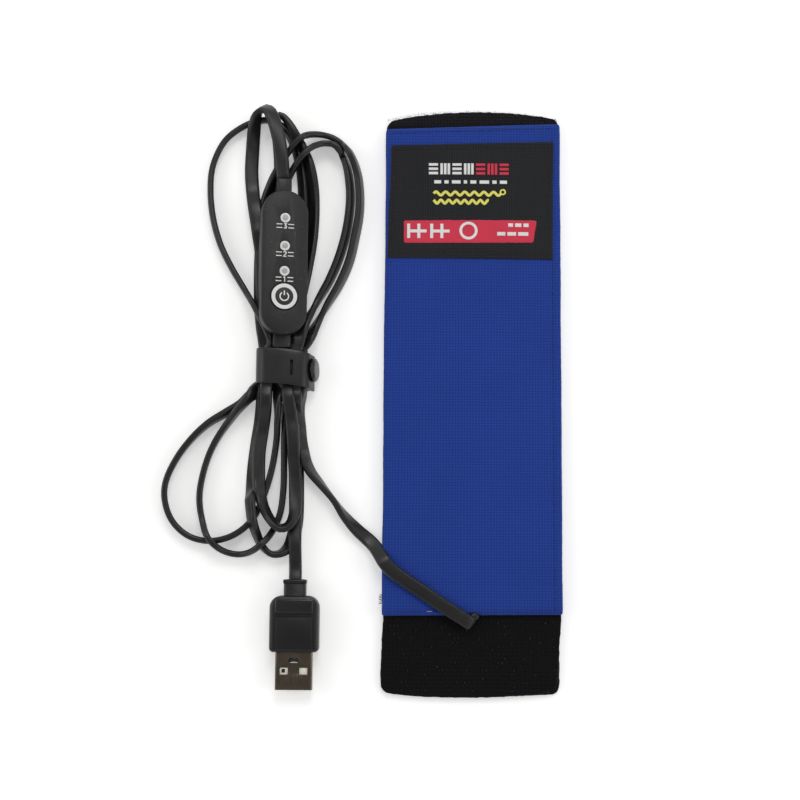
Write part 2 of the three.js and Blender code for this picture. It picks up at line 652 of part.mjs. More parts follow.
// Points of a line with its inner corners rounded.
function roundedLine(points, radius, segments) {
  const line = [points[0]];
  for (let i = 1; i < points.length - 1; i++) {
    const before = points[i - 1].clone().sub(points[i]).normalize();
    const after = points[i + 1].clone().sub(points[i]).normalize();
    const halfAngle = Math.acos(before.dot(after)) / 2;
    const reach = radius / Math.tan(halfAngle);
    const from = points[i].clone().addScaledVector(before, reach);
    const to = points[i].clone().addScaledVector(after, reach);
    const centre = points[i].clone().addScaledVector(
      before.clone().add(after).normalize(), radius / Math.sin(halfAngle),
    );
    const startAngle = Math.atan2(from.y - centre.y, from.x - centre.x);
    let sweep = Math.atan2(to.y - centre.y, to.x - centre.x) - startAngle;
    if (sweep > Math.PI) sweep -= 2 * Math.PI;
    if (sweep < -Math.PI) sweep += 2 * Math.PI;
    for (let k = 0; k <= segments; k++) {
      const angle = startAngle + (sweep * k) / segments;
      const x = centre.x + radius * Math.cos(angle);
      line.push(new THREE.Vector2(x, centre.y + radius * Math.sin(angle)));
    }
  }
  line.push(points[points.length - 1]);
  return line;
}

function ribbonShape(line, thickness) {
  const offsets = (side) => line.map((point, i) => {
    const before = line[Math.max(i - 1, 0)];
    const after = line[Math.min(i + 1, line.length - 1)];
    const along = after.clone().sub(before).normalize();
    const out = (side * thickness) / 2;
    return new THREE.Vector2(point.x - along.y * out, point.y + along.x * out);
  });
  return new THREE.Shape([...offsets(1), ...offsets(-1).reverse()]);
}

// X of the strap's leaning right side at a level, measured in from its outer face.
function strapSideX(level, inwards) {
  return strapRight - level * Math.tan(strapLean) - inwards / Math.cos(strapLean);
}

function buildStrap(group) {
  const half = strapThickness / 2;
  const innerIn = 1.5 * strapThickness + gap;
  const topLevel = strapHeight - half;
  const innerTop = strapHeight - strapInnerEnd;
  const corners = [
    [strapSideX(innerTop, innerIn), innerTop], [strapSideX(half, innerIn), half],
    [strapLeft + half, half], [strapLeft + half, topLevel],
    [strapSideX(topLevel, half), topLevel], [strapSideX(half, half), half],
  ].map(([x, z]) => new THREE.Vector2(x, z));
  const shape = ribbonShape(roundedLine(corners, strapCorner, 5), strapThickness);
  const options = { depth: strapWidth, steps: 1, bevelEnabled: false };
  const strip = new THREE.ExtrudeGeometry(shape, options);
  strip.rotateX(Math.PI / 2).translate(0, strapCentreY + strapWidth / 2, 0);

  // The strap was pulled round at an angle, so its right end and its underside lie lower.
  const place = strip.attributes.position;
  const across = strapRight - strapLeft;
  for (let i = 0; i < place.count; i++) {
    const share = THREE.MathUtils.clamp((place.getX(i) - strapLeft) / across, 0, 1);
    const up = THREE.MathUtils.clamp(place.getZ(i) / strapHeight, 0, 1);
    const skew = THREE.MathUtils.lerp(strapSkewUnder * share, strapSkewTop * share * share, up);
    place.setY(i, place.getY(i) - skew);
  }

  const snapLevel = strapHeight / 2;
  const outerFace = new THREE.Vector3(strapSideX(snapLevel, 0), snapCentreY, snapLevel);
  const toSide = new THREE.Matrix4().makeRotationY(Math.PI / 2 - strapLean);
  const onSide = (geometry) => geometry.applyMatrix4(toSide).translate(...outerFace.toArray());
  const layers = 2 * strapThickness + gap;
  const hole = onSide(bar(snapStemDiameter + 2 * gap, 0, 0, -layers - 1, 1));
  const slitBottom = strapHeight - 1.5 * strapThickness;
  const slit = plate(stadium(slitWidth, slitLength), slitBottom, strapHeight + 1);
  slit.translate(strapLeft + slitFromLeft, snapCentreY + slitAboveSnap, 0);
  add(group, 'strap_band', cut(strip, hole, slit), strapRubber);

  const stemReach = strapThickness;
  const capRadius = snapCapDiameter / 2;
  const capEdge = new THREE.CylinderGeometry(capRadius - snapCapChamfer, capRadius, snapCapThickness / 2, 32);
  const cap = join(
    capEdge.rotateX(Math.PI / 2).translate(0, 0, gap + 0.75 * snapCapThickness),
    bar(snapCapDiameter, 0, 0, gap, gap + snapCapThickness / 2, 32),
    bar(snapStemDiameter, 0, 0, -stemReach, gap + snapCapThickness / 4),
  );
  add(group, 'snap_cap', onSide(cap), snapPlastic);
  const studTop = -stemReach - gap;
  const studBase = -layers - gap;
  const stud = join(
    bar(snapStemDiameter, 0, 0, studBase - snapBaseThickness / 2, studTop),
    bar(snapBaseDiameter, 0, 0, studBase - snapBaseThickness, studBase),
  );
  add(group, 'snap_stud', onSide(stud), snapPlastic);
}

// A rounded rectangle in X and Z, run along Y from one place to another.
function runAlongY(width, height, radius, fromY, toY) {
  const options = { depth: toY - fromY, bevelEnabled: false, curveSegments: 4 };
  const run = new THREE.ExtrudeGeometry(roundedRectangle(width, height, radius), options);
  return run.rotateX(Math.PI / 2).translate(0, toY, 0);
}

function buildPlug(group) {
  const half = overmouldHeight / 2;
  const bodyShape = new THREE.Shape();
  const x = overmouldWidth / 2;
  const r = overmouldCorner;
  bodyShape.moveTo(-x + r, 0);
  bodyShape.lineTo(x - r, 0);
  bodyShape.absarc(x - r, r, r, -Math.PI / 2, 0);
  const shoulder = overmouldShoulder;
  bodyShape.absarc(x - shoulder, overmouldLength - shoulder, shoulder, 0, Math.PI / 2);
  bodyShape.absarc(-x + shoulder, overmouldLength - shoulder, shoulder, Math.PI / 2, Math.PI);
  bodyShape.absarc(-x + r, r, r, Math.PI, 1.5 * Math.PI);
  const body = roundedPlate(bodyShape, -half, half, overmouldEdge, 4);
  const sleeveCorner = sleeveEdge + cornerExcess;
  const sleeveShape = roundedRectangle(sleeveWidth, sleeveLength + overmouldShoulder, sleeveCorner);
  const sleeve = roundedPlate(sleeveShape, -sleeveThickness / 2, sleeveThickness / 2, sleeveEdge);
  sleeve.translate(0, overmouldLength + (sleeveLength - overmouldShoulder) / 2, 0);
  const socket = runAlongY(shellWidth + 2 * gap, shellHeight + 2 * gap, shellCornerRadius,
    -1, shellInside + innerMouldLength + 2 * gap);
  const panelFace = (side) => block(panelWidth, panelLength, 0, overmouldEdge + panelLength / 2,
    side > 0 ? half - panelDepth : -half - 1, side > 0 ? half + 1 : -half + panelDepth);
  add(group, 'plug_overmould', cut(join(body, sleeve), socket, panelFace(1), panelFace(-1)), plugBlack);

  const tubeOutside = runAlongY(shellWidth, shellHeight, shellCornerRadius, -shellOutside, shellInside);
  const bore = runAlongY(shellWidth - 2 * shellWall, shellHeight - 2 * shellWall,
    shellCornerRadius - shellWall / 2, -shellOutside - 1, shellInside + 1);
  const holes = [-1, 1].map((side) => block(windowWidth, windowLength, (side * windowSpacing) / 2,
    -windowFromBody - windowLength / 2, -shellHeight, shellHeight));
  const latch = block(latchWidth, latchLength, 0, -latchFromBody - latchLength / 2, 0, shellHeight);
  add(group, 'usb_shell', cut(tubeOutside, bore, ...holes, latch), nickel);

  const innerWidth = shellWidth - 2 * shellWall - 2 * gap;
  const innerHalf = shellHeight / 2 - shellWall - gap;
  const tongueTop = -innerHalf + tongueThickness;
  const tongueEnd = -shellOutside + tongueSetback;
  const carrier = join(
    block(innerWidth, shellInside - tongueEnd, 0, (shellInside + tongueEnd) / 2, -innerHalf, tongueTop),
    block(innerWidth, carrierBaseLength, 0, shellInside - carrierBaseLength / 2, -innerHalf, innerHalf),
  );
  add(group, 'contact_carrier', carrier, carrierCream);
  contactPlaces.forEach((place, index) => {
    const from = tongueEnd + contactSetback;
    const strip = block(contactWidth, contactLength, place, from + contactLength / 2, tongueTop,
      tongueTop + contactThickness);
    add(group, `plug_contact_${index + 1}`, strip, gold);
  });
  const mouldY = shellInside + gap + innerMouldLength / 2;
  const mould = block(shellWidth - 2 * innerMouldInset, innerMouldLength, 0, mouldY,
    -shellHeight / 2 + gap, shellHeight / 2 - gap);
  add(group, 'plug_inner_mould', mould, partCream);
}

function buildCords(group) {
  add(group, 'cord_pad_lead', tube(padLeadRoute, cordDiameter, cordSides, cordStep), cordBlack);
  add(group, 'cord_controller_arch', tube(archRoute, cordDiameter, cordSides, cordStep), cordBlack);
  add(group, 'cord_plug_lead', tube(plugLeadRoute, cordDiameter, cordSides, cordStep), cordBlack);
  const left = strapLeft + strapThickness + gap;
  const bottom = strapThickness + gap;
  const top = strapHeight - strapThickness - gap;
  const waist = runAlongY(hankRight - left, top - bottom, strapCorner, strapCentreY - strapWidth / 2,
    strapCentreY + strapWidth / 2);
  waist.translate((hankRight + left) / 2, 0, (top + bottom) / 2);
  const strands = hankRoutes.map((route) => tube(route, cordDiameter, hankSides, hankStep));
  add(group, 'cord_hank', join(waist, ...strands), cordBlack);
}

const heaterStrip = new THREE.Group();
buildPad(heaterStrip);

const controller = new THREE.Group();
controller.position.copy(controllerPlace);
controller.rotation.y = controllerRoll;
buildController(controller);
heaterStrip.add(controller);

buildStrap(heaterStrip);

const plug = new THREE.Group();
plug.position.copy(plugPlace);
buildPlug(plug);
heaterStrip.add(plug);

buildCords(heaterStrip);

export default heaterStrip;
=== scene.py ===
# Telescope dew heater strip laid out flat with its cord in a hank.
# Units are metres, +Y runs along the pad, +Z is up.
import math

import bmesh
import bpy
import numpy as np
from mathutils import Matrix, Vector, noise


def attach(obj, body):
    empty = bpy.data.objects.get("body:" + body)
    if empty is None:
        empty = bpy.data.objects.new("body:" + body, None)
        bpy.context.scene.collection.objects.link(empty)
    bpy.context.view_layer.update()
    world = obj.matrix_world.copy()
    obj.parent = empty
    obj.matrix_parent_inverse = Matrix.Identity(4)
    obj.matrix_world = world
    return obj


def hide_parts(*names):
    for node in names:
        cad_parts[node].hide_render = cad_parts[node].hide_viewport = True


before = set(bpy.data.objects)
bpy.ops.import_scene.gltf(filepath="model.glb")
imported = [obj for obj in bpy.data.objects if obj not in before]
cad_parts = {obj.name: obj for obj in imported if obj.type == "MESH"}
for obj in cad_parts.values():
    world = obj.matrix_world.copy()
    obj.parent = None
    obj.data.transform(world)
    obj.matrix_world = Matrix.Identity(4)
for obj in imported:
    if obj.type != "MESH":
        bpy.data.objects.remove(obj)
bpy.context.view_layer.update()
print("stage: frame loaded")


def deselectAll():
    if bpy.context.object and bpy.context.object.mode != "OBJECT":
        bpy.ops.object.mode_set(mode="OBJECT")
    bpy.ops.object.select_all(action="DESELECT")


def selectOnly(piece):
    deselectAll()
    piece.select_set(True)
    bpy.context.view_layer.objects.active = piece


def resizeAll(size, centre):
    bpy.ops.object.mode_set(mode="EDIT")
    bpy.ops.mesh.select_all(action="SELECT")
    bpy.ops.transform.resize(value=size, center_override=centre)
    bpy.ops.object.mode_set(mode="OBJECT")


def applyModifier(piece, kind, **settings):
    bpy.ops.object.modifier_add(type=kind)
    made = piece.modifiers[-1]
    for name, value in settings.items():
        setattr(made, name, value)
    bpy.ops.object.modifier_apply(modifier=made.name)


deselectAll()

# Camera, set where the photograph was taken from.
cameraLook = {
    "lookAt": (-0.0242, -0.0008, 0.0),
    "distance": 0.480,
    "tilt": math.radians(6.8),
    "roll": math.radians(0.4),
    "lens": 64.76,
}


def makeCamera(values):
    tilt, roll = values["tilt"], values["roll"]
    back = Vector((0.0, -math.sin(tilt), math.cos(tilt)))
    upward = Vector((0.0, math.cos(tilt), math.sin(tilt)))
    right = Vector((1.0, 0.0, 0.0))
    side = right * math.cos(roll) + upward * math.sin(roll)
    top = upward * math.cos(roll) - right * math.sin(roll)
    turn = Matrix((side, top, back)).transposed().to_4x4()
    deselectAll()
    bpy.ops.object.camera_add()
    camera = bpy.context.object
    camera.name = "camera"
    camera.matrix_world = Matrix.Translation(Vector(values["lookAt"]) + back * values["distance"]) @ turn
    camera.data.sensor_fit = "HORIZONTAL"
    camera.data.sensor_width = 36.0
    camera.data.lens = values["lens"]
    camera.data.clip_start = 0.01
    camera.data.clip_end = 20.0
    bpy.context.scene.camera = camera


makeCamera(cameraLook)
print("stage: camera")

# Flat cord. Each point of a route is x, y, z and the turn of the flat section, 0 lying flat and 90 on edge.
cordLook = {
    "padWidth": 0.0046, "plugWidth": 0.00415, "thickness": 0.00205, "corner": 0.0008, "step": 0.0012,
    "floor": 0.0, "tabTop": 0.0024, "padTop": 0.0050, "padEdge": -0.0296, "padRise": 0.0012,
    "hemEdge": -0.0722, "hemRise": 0.0008,
    "strapFrom": 0.0016, "strapTo": 0.0176, "strapRight": -0.05,  # held as given under the strap
    "mostLift": 0.0022, "rounds": 400, "sink": 0.00002, "sameStretch": 14, "archSteps": 20,
}
padToControllerRoute = [
    (-0.0004, -0.0746, 0.0046, 0), (-0.0016, -0.0737, 0.0052, 0), (-0.0052, -0.0714, 0.0061, 0),
    (-0.0092, -0.0689, 0.0062, 0), (-0.0173, -0.0635, 0.0062, 0), (-0.0275, -0.0563, 0.0066, 4),
    (-0.0325, -0.0491, 0.0070, 14), (-0.0381, -0.0440, 0.0066, 40), (-0.0424, -0.0393, 0.0060, 68),
    (-0.0457, -0.0347, 0.0052, 88), (-0.0504, -0.0289, 0.0042, 74), (-0.0537, -0.0246, 0.0036, 60),
    (-0.0561, -0.0180, 0.0030, 48), (-0.0572, -0.0107, 0.0030, 48), (-0.0575, -0.0034, 0.0032, 62),
    (-0.0563, 0.0010, 0.0036, 80), (-0.0559, 0.0060, 0.0037, 90), (-0.0559, 0.0125, 0.0037, 90),
    (-0.0562, 0.0170, 0.0034, 95), (-0.0581, 0.0239, 0.0024, 105), (-0.0572, 0.0324, 0.0024, 118),
    (-0.0554, 0.0426, 0.0024, 128), (-0.0540, 0.0529, 0.0024, 133), (-0.0536, 0.0639, 0.0024, 133),
    (-0.0541, 0.0718, 0.0025, 133), (-0.0555, 0.0784, 0.0025, 130), (-0.0580, 0.0843, 0.0026, 124),
    (-0.0604, 0.0888, 0.0027, 114), (-0.0625, 0.0924, 0.0028, 100), (-0.0644, 0.0948, 0.0028, 86),
    (-0.0663, 0.0952, 0.0028, 74), (-0.0670, 0.0929, 0.0028, 60), (-0.0662, 0.0885, 0.0024, 40),
    (-0.0653, 0.0807, 0.0016, 12), (-0.0653, 0.0687, 0.0011, 0), (-0.0660, 0.0497, 0.0011, 0),
    (-0.0657, 0.0326, 0.0011, 0), (-0.0639, 0.0225, 0.0026, 0), (-0.0639, 0.0155, 0.0046, 0),
    (-0.0639, 0.0094, 0.0047, 0), (-0.0639, 0.0040, 0.0047, 10), (-0.0644, -0.0016, 0.0044, 60),
    (-0.0645, -0.0075, 0.0036, 85), (-0.0649, -0.0147, 0.0028, 88), (-0.0664, -0.0247, 0.0025, 88),
    (-0.0691, -0.0339, 0.0024, 88), (-0.0719, -0.0401, 0.0024, 88), (-0.0755, -0.0441, 0.0024, 88),
    (-0.0803, -0.0469, 0.0024, 88), (-0.0869, -0.0481, 0.0024, 90), (-0.0935, -0.0464, 0.0024, 92),
    (-0.0988, -0.0416, 0.0024, 96), (-0.1013, -0.0354, 0.0024, 98), (-0.1014, -0.0295, 0.0024, 98),
    (-0.0985, -0.0222, 0.0024, 96), (-0.0934, -0.0149, 0.0024, 92), (-0.0877, -0.0094, 0.0024, 86),
    (-0.0822, -0.0060, 0.0023, 78), (-0.0769, -0.0028, 0.0023, 70), (-0.0733, 0.0004, 0.0024, 50),
    (-0.0696, 0.0015, 0.0025, 20), (-0.0687, 0.0060, 0.0025, 0), (-0.0686, 0.0125, 0.0025, 0),
    (-0.0689, 0.0175, 0.0024, 0), (-0.0706, 0.0250, 0.0016, 0), (-0.0713, 0.0376, 0.0012, 0),
    (-0.0711, 0.0531, 0.0012, 10), (-0.0699, 0.0650, 0.0018, 40), (-0.0678, 0.0725, 0.0024, 75),
    (-0.0650, 0.0783, 0.0026, 96), (-0.0614, 0.0835, 0.0040, 102), (-0.0576, 0.0873, 0.0046, 105),
    (-0.0529, 0.0891, 0.0034, 106), (-0.0486, 0.0887, 0.0025, 106), (-0.0448, 0.0864, 0.0024, 105),
    (-0.0417, 0.0824, 0.0024, 106), (-0.0393, 0.0768, 0.0024, 108), (-0.0383, 0.0702, 0.0024, 109),
    (-0.0383, 0.0626, 0.0024, 109), (-0.0397, 0.0537, 0.0024, 109), (-0.0416, 0.0454, 0.0024, 109),
    (-0.0447, 0.0379, 0.0025, 105), (-0.0490, 0.0303, 0.0029, 92), (-0.0527, 0.0233, 0.0040, 60),
    (-0.0550, 0.0185, 0.0046, 25), (-0.0592, 0.0135, 0.0047, 0), (-0.0592, 0.0060, 0.0047, 0),
    (-0.0596, 0.0010, 0.0045, 15), (-0.0622, -0.0055, 0.0036, 60), (-0.0624, -0.0114, 0.0028, 85),
    (-0.0623, -0.0230, 0.0025, 88), (-0.0624, -0.0312, 0.0025, 88), (-0.0634, -0.0391, 0.0025, 88),
    (-0.0658, -0.0449, 0.0034, 88), (-0.0689, -0.0490, 0.0060, 88), (-0.0726, -0.0515, 0.0046, 88),
    (-0.0769, -0.0524, 0.0030, 89), (-0.0819, -0.0512, 0.0024, 92), (-0.0863, -0.0475, 0.0028, 94),
    (-0.0888, -0.0416, 0.0024, 96), (-0.0900, -0.0340, 0.0024, 96), (-0.0890, -0.0261, 0.0024, 96),
    (-0.0865, -0.0182, 0.0024, 94), (-0.0826, -0.0112, 0.0024, 90), (-0.0778, -0.0054, 0.0032, 82),
    (-0.0738, -0.0009, 0.0038, 65), (-0.0715, 0.0023, 0.0034, 25), (-0.0646, 0.0050, 0.0025, 0),
    (-0.0639, 0.0125, 0.0025, 0), (-0.0642, 0.0170, 0.0025, 0), (-0.0681, 0.0238, 0.0024, 0),
    (-0.0685, 0.0357, 0.0022, 0), (-0.0681, 0.0511, 0.0022, 0), (-0.0664, 0.0624, 0.0024, 20),
    (-0.0640, 0.0704, 0.0026, 65), (-0.0612, 0.0758, 0.0030, 94), (-0.0578, 0.0804, 0.0046, 102),
    (-0.0545, 0.0838, 0.0042, 104), (-0.0509, 0.0856, 0.0030, 105), (-0.0473, 0.0853, 0.0025, 104),
    (-0.0448, 0.0830, 0.0024, 104), (-0.0429, 0.0789, 0.0024, 106), (-0.0418, 0.0733, 0.0024, 109),
    (-0.0414, 0.0668, 0.0024, 109), (-0.0424, 0.0571, 0.0024, 109), (-0.0448, 0.0475, 0.0024, 109),
    (-0.0481, 0.0392, 0.0025, 105), (-0.0523, 0.0315, 0.0034, 90), (-0.0556, 0.0245, 0.0050, 55),
    (-0.0576, 0.0188, 0.0066, 20), (-0.0592, 0.0135, 0.0069, 0), (-0.0592, 0.0060, 0.0069, 0),
    (-0.0588, 0.0005, 0.0060, 0), (-0.0588, -0.0054, 0.0032, 0), (-0.0584, -0.0146, 0.0014, 0),
    (-0.0580, -0.0278, 0.0011, 0), (-0.0579, -0.0367, 0.0011, 0), (-0.0581, -0.0417, 0.0012, 6),
    (-0.0590, -0.0466, 0.0015, 20), (-0.0605, -0.0500, 0.0019, 45), (-0.0629, -0.0519, 0.0023, 72),
    (-0.0660, -0.0522, 0.0024, 86), (-0.0689, -0.0499, 0.0024, 104), (-0.0709, -0.0458, 0.0042, 118),
    (-0.0723, -0.0403, 0.0062, 124), (-0.0729, -0.0337, 0.0052, 130), (-0.0726, -0.0261, 0.0038, 144),
    (-0.0717, -0.0181, 0.0034, 160), (-0.0705, -0.0099, 0.0038, 172), (-0.0695, -0.0023, 0.0044, 180),
    (-0.0683, 0.0055, 0.0047, 180), (-0.0686, 0.0125, 0.0047, 180), (-0.0692, 0.0180, 0.0046, 180),
    (-0.0702, 0.0247, 0.0034, 180), (-0.0703, 0.0357, 0.0024, 180), (-0.0707, 0.0453, 0.0022, 180),
    (-0.0718, 0.0535, 0.0022, 180), (-0.0731, 0.0613, 0.0026, 182), (-0.0744, 0.0690, 0.0034, 186),
    (-0.0750, 0.0756, 0.0046, 190), (-0.0749, 0.0821, 0.0060, 196), (-0.0745, 0.0879, 0.0074, 206),
    (-0.0738, 0.0921, 0.0084, 228), (-0.0728, 0.0952, 0.0089, 262), (-0.0711, 0.0969, 0.0090, 298),
    (-0.0692, 0.0963, 0.0090, 322), (-0.0676, 0.0934, 0.0089, 338), (-0.0662, 0.0893, 0.0088, 350),
    (-0.0651, 0.0845, 0.0086, 360), (-0.0643, 0.0794, 0.0085, 368), (-0.0638, 0.0744, 0.0083, 372),
    (-0.0636, 0.0722, 0.0083, 372),
]
controllerToPlugRoute = [
    (-0.0639, 0.0172, 0.0080, 12), (-0.0640, 0.0150, 0.0074, 6), (-0.0640, 0.0125, 0.0069, 0),
    (-0.0636, 0.0060, 0.0069, 0), (-0.0616, 0.0028, 0.0069, 0), (-0.0608, -0.0012, 0.0069, 0),
    (-0.0600, -0.0068, 0.0066, 0), (-0.0593, -0.0134, 0.0062, 0), (-0.0587, -0.0215, 0.0056, 4),
    (-0.0582, -0.0297, 0.0055, 10), (-0.0581, -0.0350, 0.0058, 22), (-0.0586, -0.0399, 0.0060, 44),
    (-0.0604, -0.0431, 0.0062, 62), (-0.0632, -0.0438, 0.0062, 68), (-0.0661, -0.0412, 0.0058, 64),
    (-0.0686, -0.0366, 0.0052, 52), (-0.0700, -0.0314, 0.0052, 30), (-0.0704, -0.0249, 0.0054, 14),
    (-0.0703, -0.0183, 0.0058, 6), (-0.0695, -0.0118, 0.0060, 0), (-0.0685, -0.0052, 0.0066, 0),
    (-0.0682, 0.0007, 0.0068, 0), (-0.0684, 0.0070, 0.0069, 0), (-0.0686, 0.0125, 0.0069, 20),
    (-0.0667, 0.0163, 0.0074, 62), (-0.0682, 0.0208, 0.0070, 86), (-0.0704, 0.0250, 0.0064, 88),
    (-0.0732, 0.0302, 0.0046, 90), (-0.0768, 0.0362, 0.0028, 92), (-0.0812, 0.0435, 0.0022, 94),
    (-0.0849, 0.0510, 0.0022, 96), (-0.0875, 0.0596, 0.0022, 98), (-0.0887, 0.0692, 0.0022, 99),
    (-0.0881, 0.0783, 0.0022, 101), (-0.0842, 0.0870, 0.0022, 104), (-0.0785, 0.0918, 0.0022, 104),
    (-0.0735, 0.0939, 0.0022, 102), (-0.0690, 0.0943, 0.0022, 98), (-0.0653, 0.0924, 0.0022, 86),
    (-0.0625, 0.0893, 0.0022, 74), (-0.0604, 0.0851, 0.0022, 62), (-0.0590, 0.0806, 0.0022, 54),
    (-0.0580, 0.0754, 0.0022, 50), (-0.0574, 0.0684, 0.0022, 48), (-0.0572, 0.0581, 0.0020, 44),
    (-0.0576, 0.0455, 0.0016, 30), (-0.0587, 0.0326, 0.0012, 5), (-0.0595, 0.0240, 0.0016, 0),
    (-0.0596, 0.0170, 0.0024, 0), (-0.0592, 0.0125, 0.0025, 0), (-0.0592, 0.0060, 0.0025, 0),
    (-0.0588, 0.0010, 0.0025, 0), (-0.0594, -0.0081, 0.0030, 0), (-0.0588, -0.0197, 0.0031, 0),
    (-0.0584, -0.0329, 0.0031, 0), (-0.0582, -0.0443, 0.0033, 0), (-0.0581, -0.0509, 0.0040, 0),
    (-0.0580, -0.0550, 0.0040, 0), (-0.0579, -0.0590, 0.0040, 0), (-0.0579, -0.0625, 0.0040, 0),
]


# Rows of place and turn at even steps on the smooth line through the points.
def smoothLine(points, step):
    turnScale = 0.0002  # one degree of turn weighs as much as this length
    rows = np.array([(*p[:3], p[3] * turnScale) for p in points])
    ends = np.vstack([2 * rows[:1] - rows[1:2], rows, 2 * rows[-1:] - rows[-2:-1]])
    found = []
    for k in range(1, len(ends) - 2):
        a, b, c, d = ends[k - 1:k + 3]
        t0 = 0.0
        t1 = t0 + max(np.linalg.norm((b - a)[:3]), 1e-6) ** 0.5
        t2 = t1 + max(np.linalg.norm((c - b)[:3]), 1e-6) ** 0.5
        t3 = t2 + max(np.linalg.norm((d - c)[:3]), 1e-6) ** 0.5
        for t in np.linspace(t1, t2, 16, endpoint=False):
            e = (t1 - t) / (t1 - t0) * a + (t - t0) / (t1 - t0) * b
            f = (t2 - t) / (t2 - t1) * b + (t - t1) / (t2 - t1) * c
            g = (t3 - t) / (t3 - t2) * c + (t - t2) / (t3 - t2) * d
            h = (t2 - t) / (t2 - t0) * e + (t - t0) / (t2 - t0) * f
            m = (t3 - t) / (t3 - t1) * f + (t - t1) / (t3 - t1) * g
            found.append((t2 - t) / (t2 - t1) * h + (t - t1) / (t2 - t1) * m)
    found.append(rows[-1])
    found = np.array(found)
    along = np.concatenate([[0], np.cumsum(np.linalg.norm(np.diff(found[:, :3], axis=0), axis=1))])
    at = np.linspace(0, along[-1], int(along[-1] / step) + 1)
    even = np.stack([np.interp(at, along, found[:, i]) for i in range(4)], axis=1)
    even[:, 3] = np.radians(even[:, 3] / turnScale)
    return even


# What lies under the cord at each place: the floor, or the pad's top.
def restingHeight(x, y, values):
    onPad = np.clip((x - values["padEdge"] + values["padRise"]) / values["padRise"], 0, 1)
    onCover = np.clip((y - values["hemEdge"]) / values["hemRise"], 0, 1)
    top = values["tabTop"] + (values["padTop"] - values["tabTop"]) * onCover
    return values["floor"] + onPad * top


# Lifts crossing stretches onto each other, in the order of the routes' heights, and lets the rest lie.
def settleCords(lines, values):
    joined = np.vstack(lines)
    owner = np.concatenate([np.full(len(line), k) for k, line in enumerate(lines)])
    index = np.concatenate([np.arange(len(line)) for line in lines])
    x, y, given, turn = joined.T
    thin, r = values["thickness"] / 2, values["corner"]
    half = np.where(owner == 0, values["padWidth"], values["plugWidth"]) / 2
    tall = (half - r) * np.abs(np.sin(turn)) + (thin - r) * np.abs(np.cos(turn)) + r
    wide = (half - r) * np.abs(np.cos(turn)) + (thin - r) * np.abs(np.sin(turn)) + r
    apart = np.hypot(x[:, None] - x[None], y[:, None] - y[None])
    reach = wide[:, None] + wide[None]
    far = (owner[:, None] != owner[None]) | (np.abs(index[:, None] - index[None]) > values["sameStretch"])
    a, b = np.nonzero(np.triu((apart < reach) & far, 1))
    need = (tall[a] + tall[b]) * np.sqrt(np.clip(1 - (apart[a, b] / reach[a, b]) ** 2, 0, 1))
    aboveIs = np.where(given[a] >= given[b], 1.0, -1.0)
    rest = restingHeight(x, y, values) + tall
    held = (y > values["strapFrom"]) & (y < values["strapTo"]) & (x < values["strapRight"])
    first = np.concatenate([[0], np.cumsum([len(line) for line in lines])[:-1]])
    last = np.cumsum([len(line) for line in lines]) - 1
    for f, l in zip(first, last):
        held[f:f + 3] = True
        held[l - 2:l + 1] = True
    held |= (owner == 0) & (index > index[owner == 0].max() - values["archSteps"])
    z = given.copy()
    free = ~held
    for _ in range(values["rounds"]):
        push = np.clip(need - aboveIs * (z[a] - z[b]), 0, None) * 0.5 * aboveIs
        up = np.zeros(len(z))
        down = np.zeros(len(z))
        np.maximum.at(up, a, push)
        np.maximum.at(up, b, -push)
        np.minimum.at(down, a, push)
        np.minimum.at(down, b, -push)
        z[free] += (0.9 * (up + down))[free]
        z[free] -= values["sink"]
        eased = z.copy()
        for f, l in zip(first, last):
            part = z[f:l + 1]
            eased[f + 1:l] = 0.25 * part[:-2] + 0.5 * part[1:-1] + 0.25 * part[2:]
        z[free] = (0.45 * z + 0.55 * eased)[free]
        z[free] = np.maximum(np.minimum(z, given + values["mostLift"]), rest)[free]
    done = []
    for f, l in zip(first, last):
        line = joined[f:l + 1].copy()
        line[:, 2] = z[f:l + 1]
        done.append(line)
    worst = float((need - aboveIs * (z[a] - z[b])).max())
    print(f"stage: cords settled, deepest press {worst * 1000:.2f} mm, top {z.max() * 1000:.1f} mm")
    return done


# Outline of the flat cord's section, with rounded edges at both sides.
def flatSection(values, width, corners=4):
    outline = []
    r = values["corner"]
    x, z = width / 2 - r, values["thickness"] / 2 - r
    for cx, cz, start in ((x, z, 0), (-x, z, 90), (-x, -z, 180), (x, -z, 270)):
        for k in range(corners + 1):
            angle = math.radians(start + 90 * k / corners)
            outline.append((cx + r * math.cos(angle), cz + r * math.sin(angle)))
    return outline


def pieceFromWork(name, work, finish=None):
    bmesh.ops.recalc_face_normals(work, faces=work.faces)
    mesh = bpy.data.meshes.new(name)
    work.to_mesh(mesh)
    work.free()
    piece = bpy.data.objects.new(name, mesh)
    bpy.context.scene.collection.objects.link(piece)
    if finish:
        dress(piece, finish)
    return piece


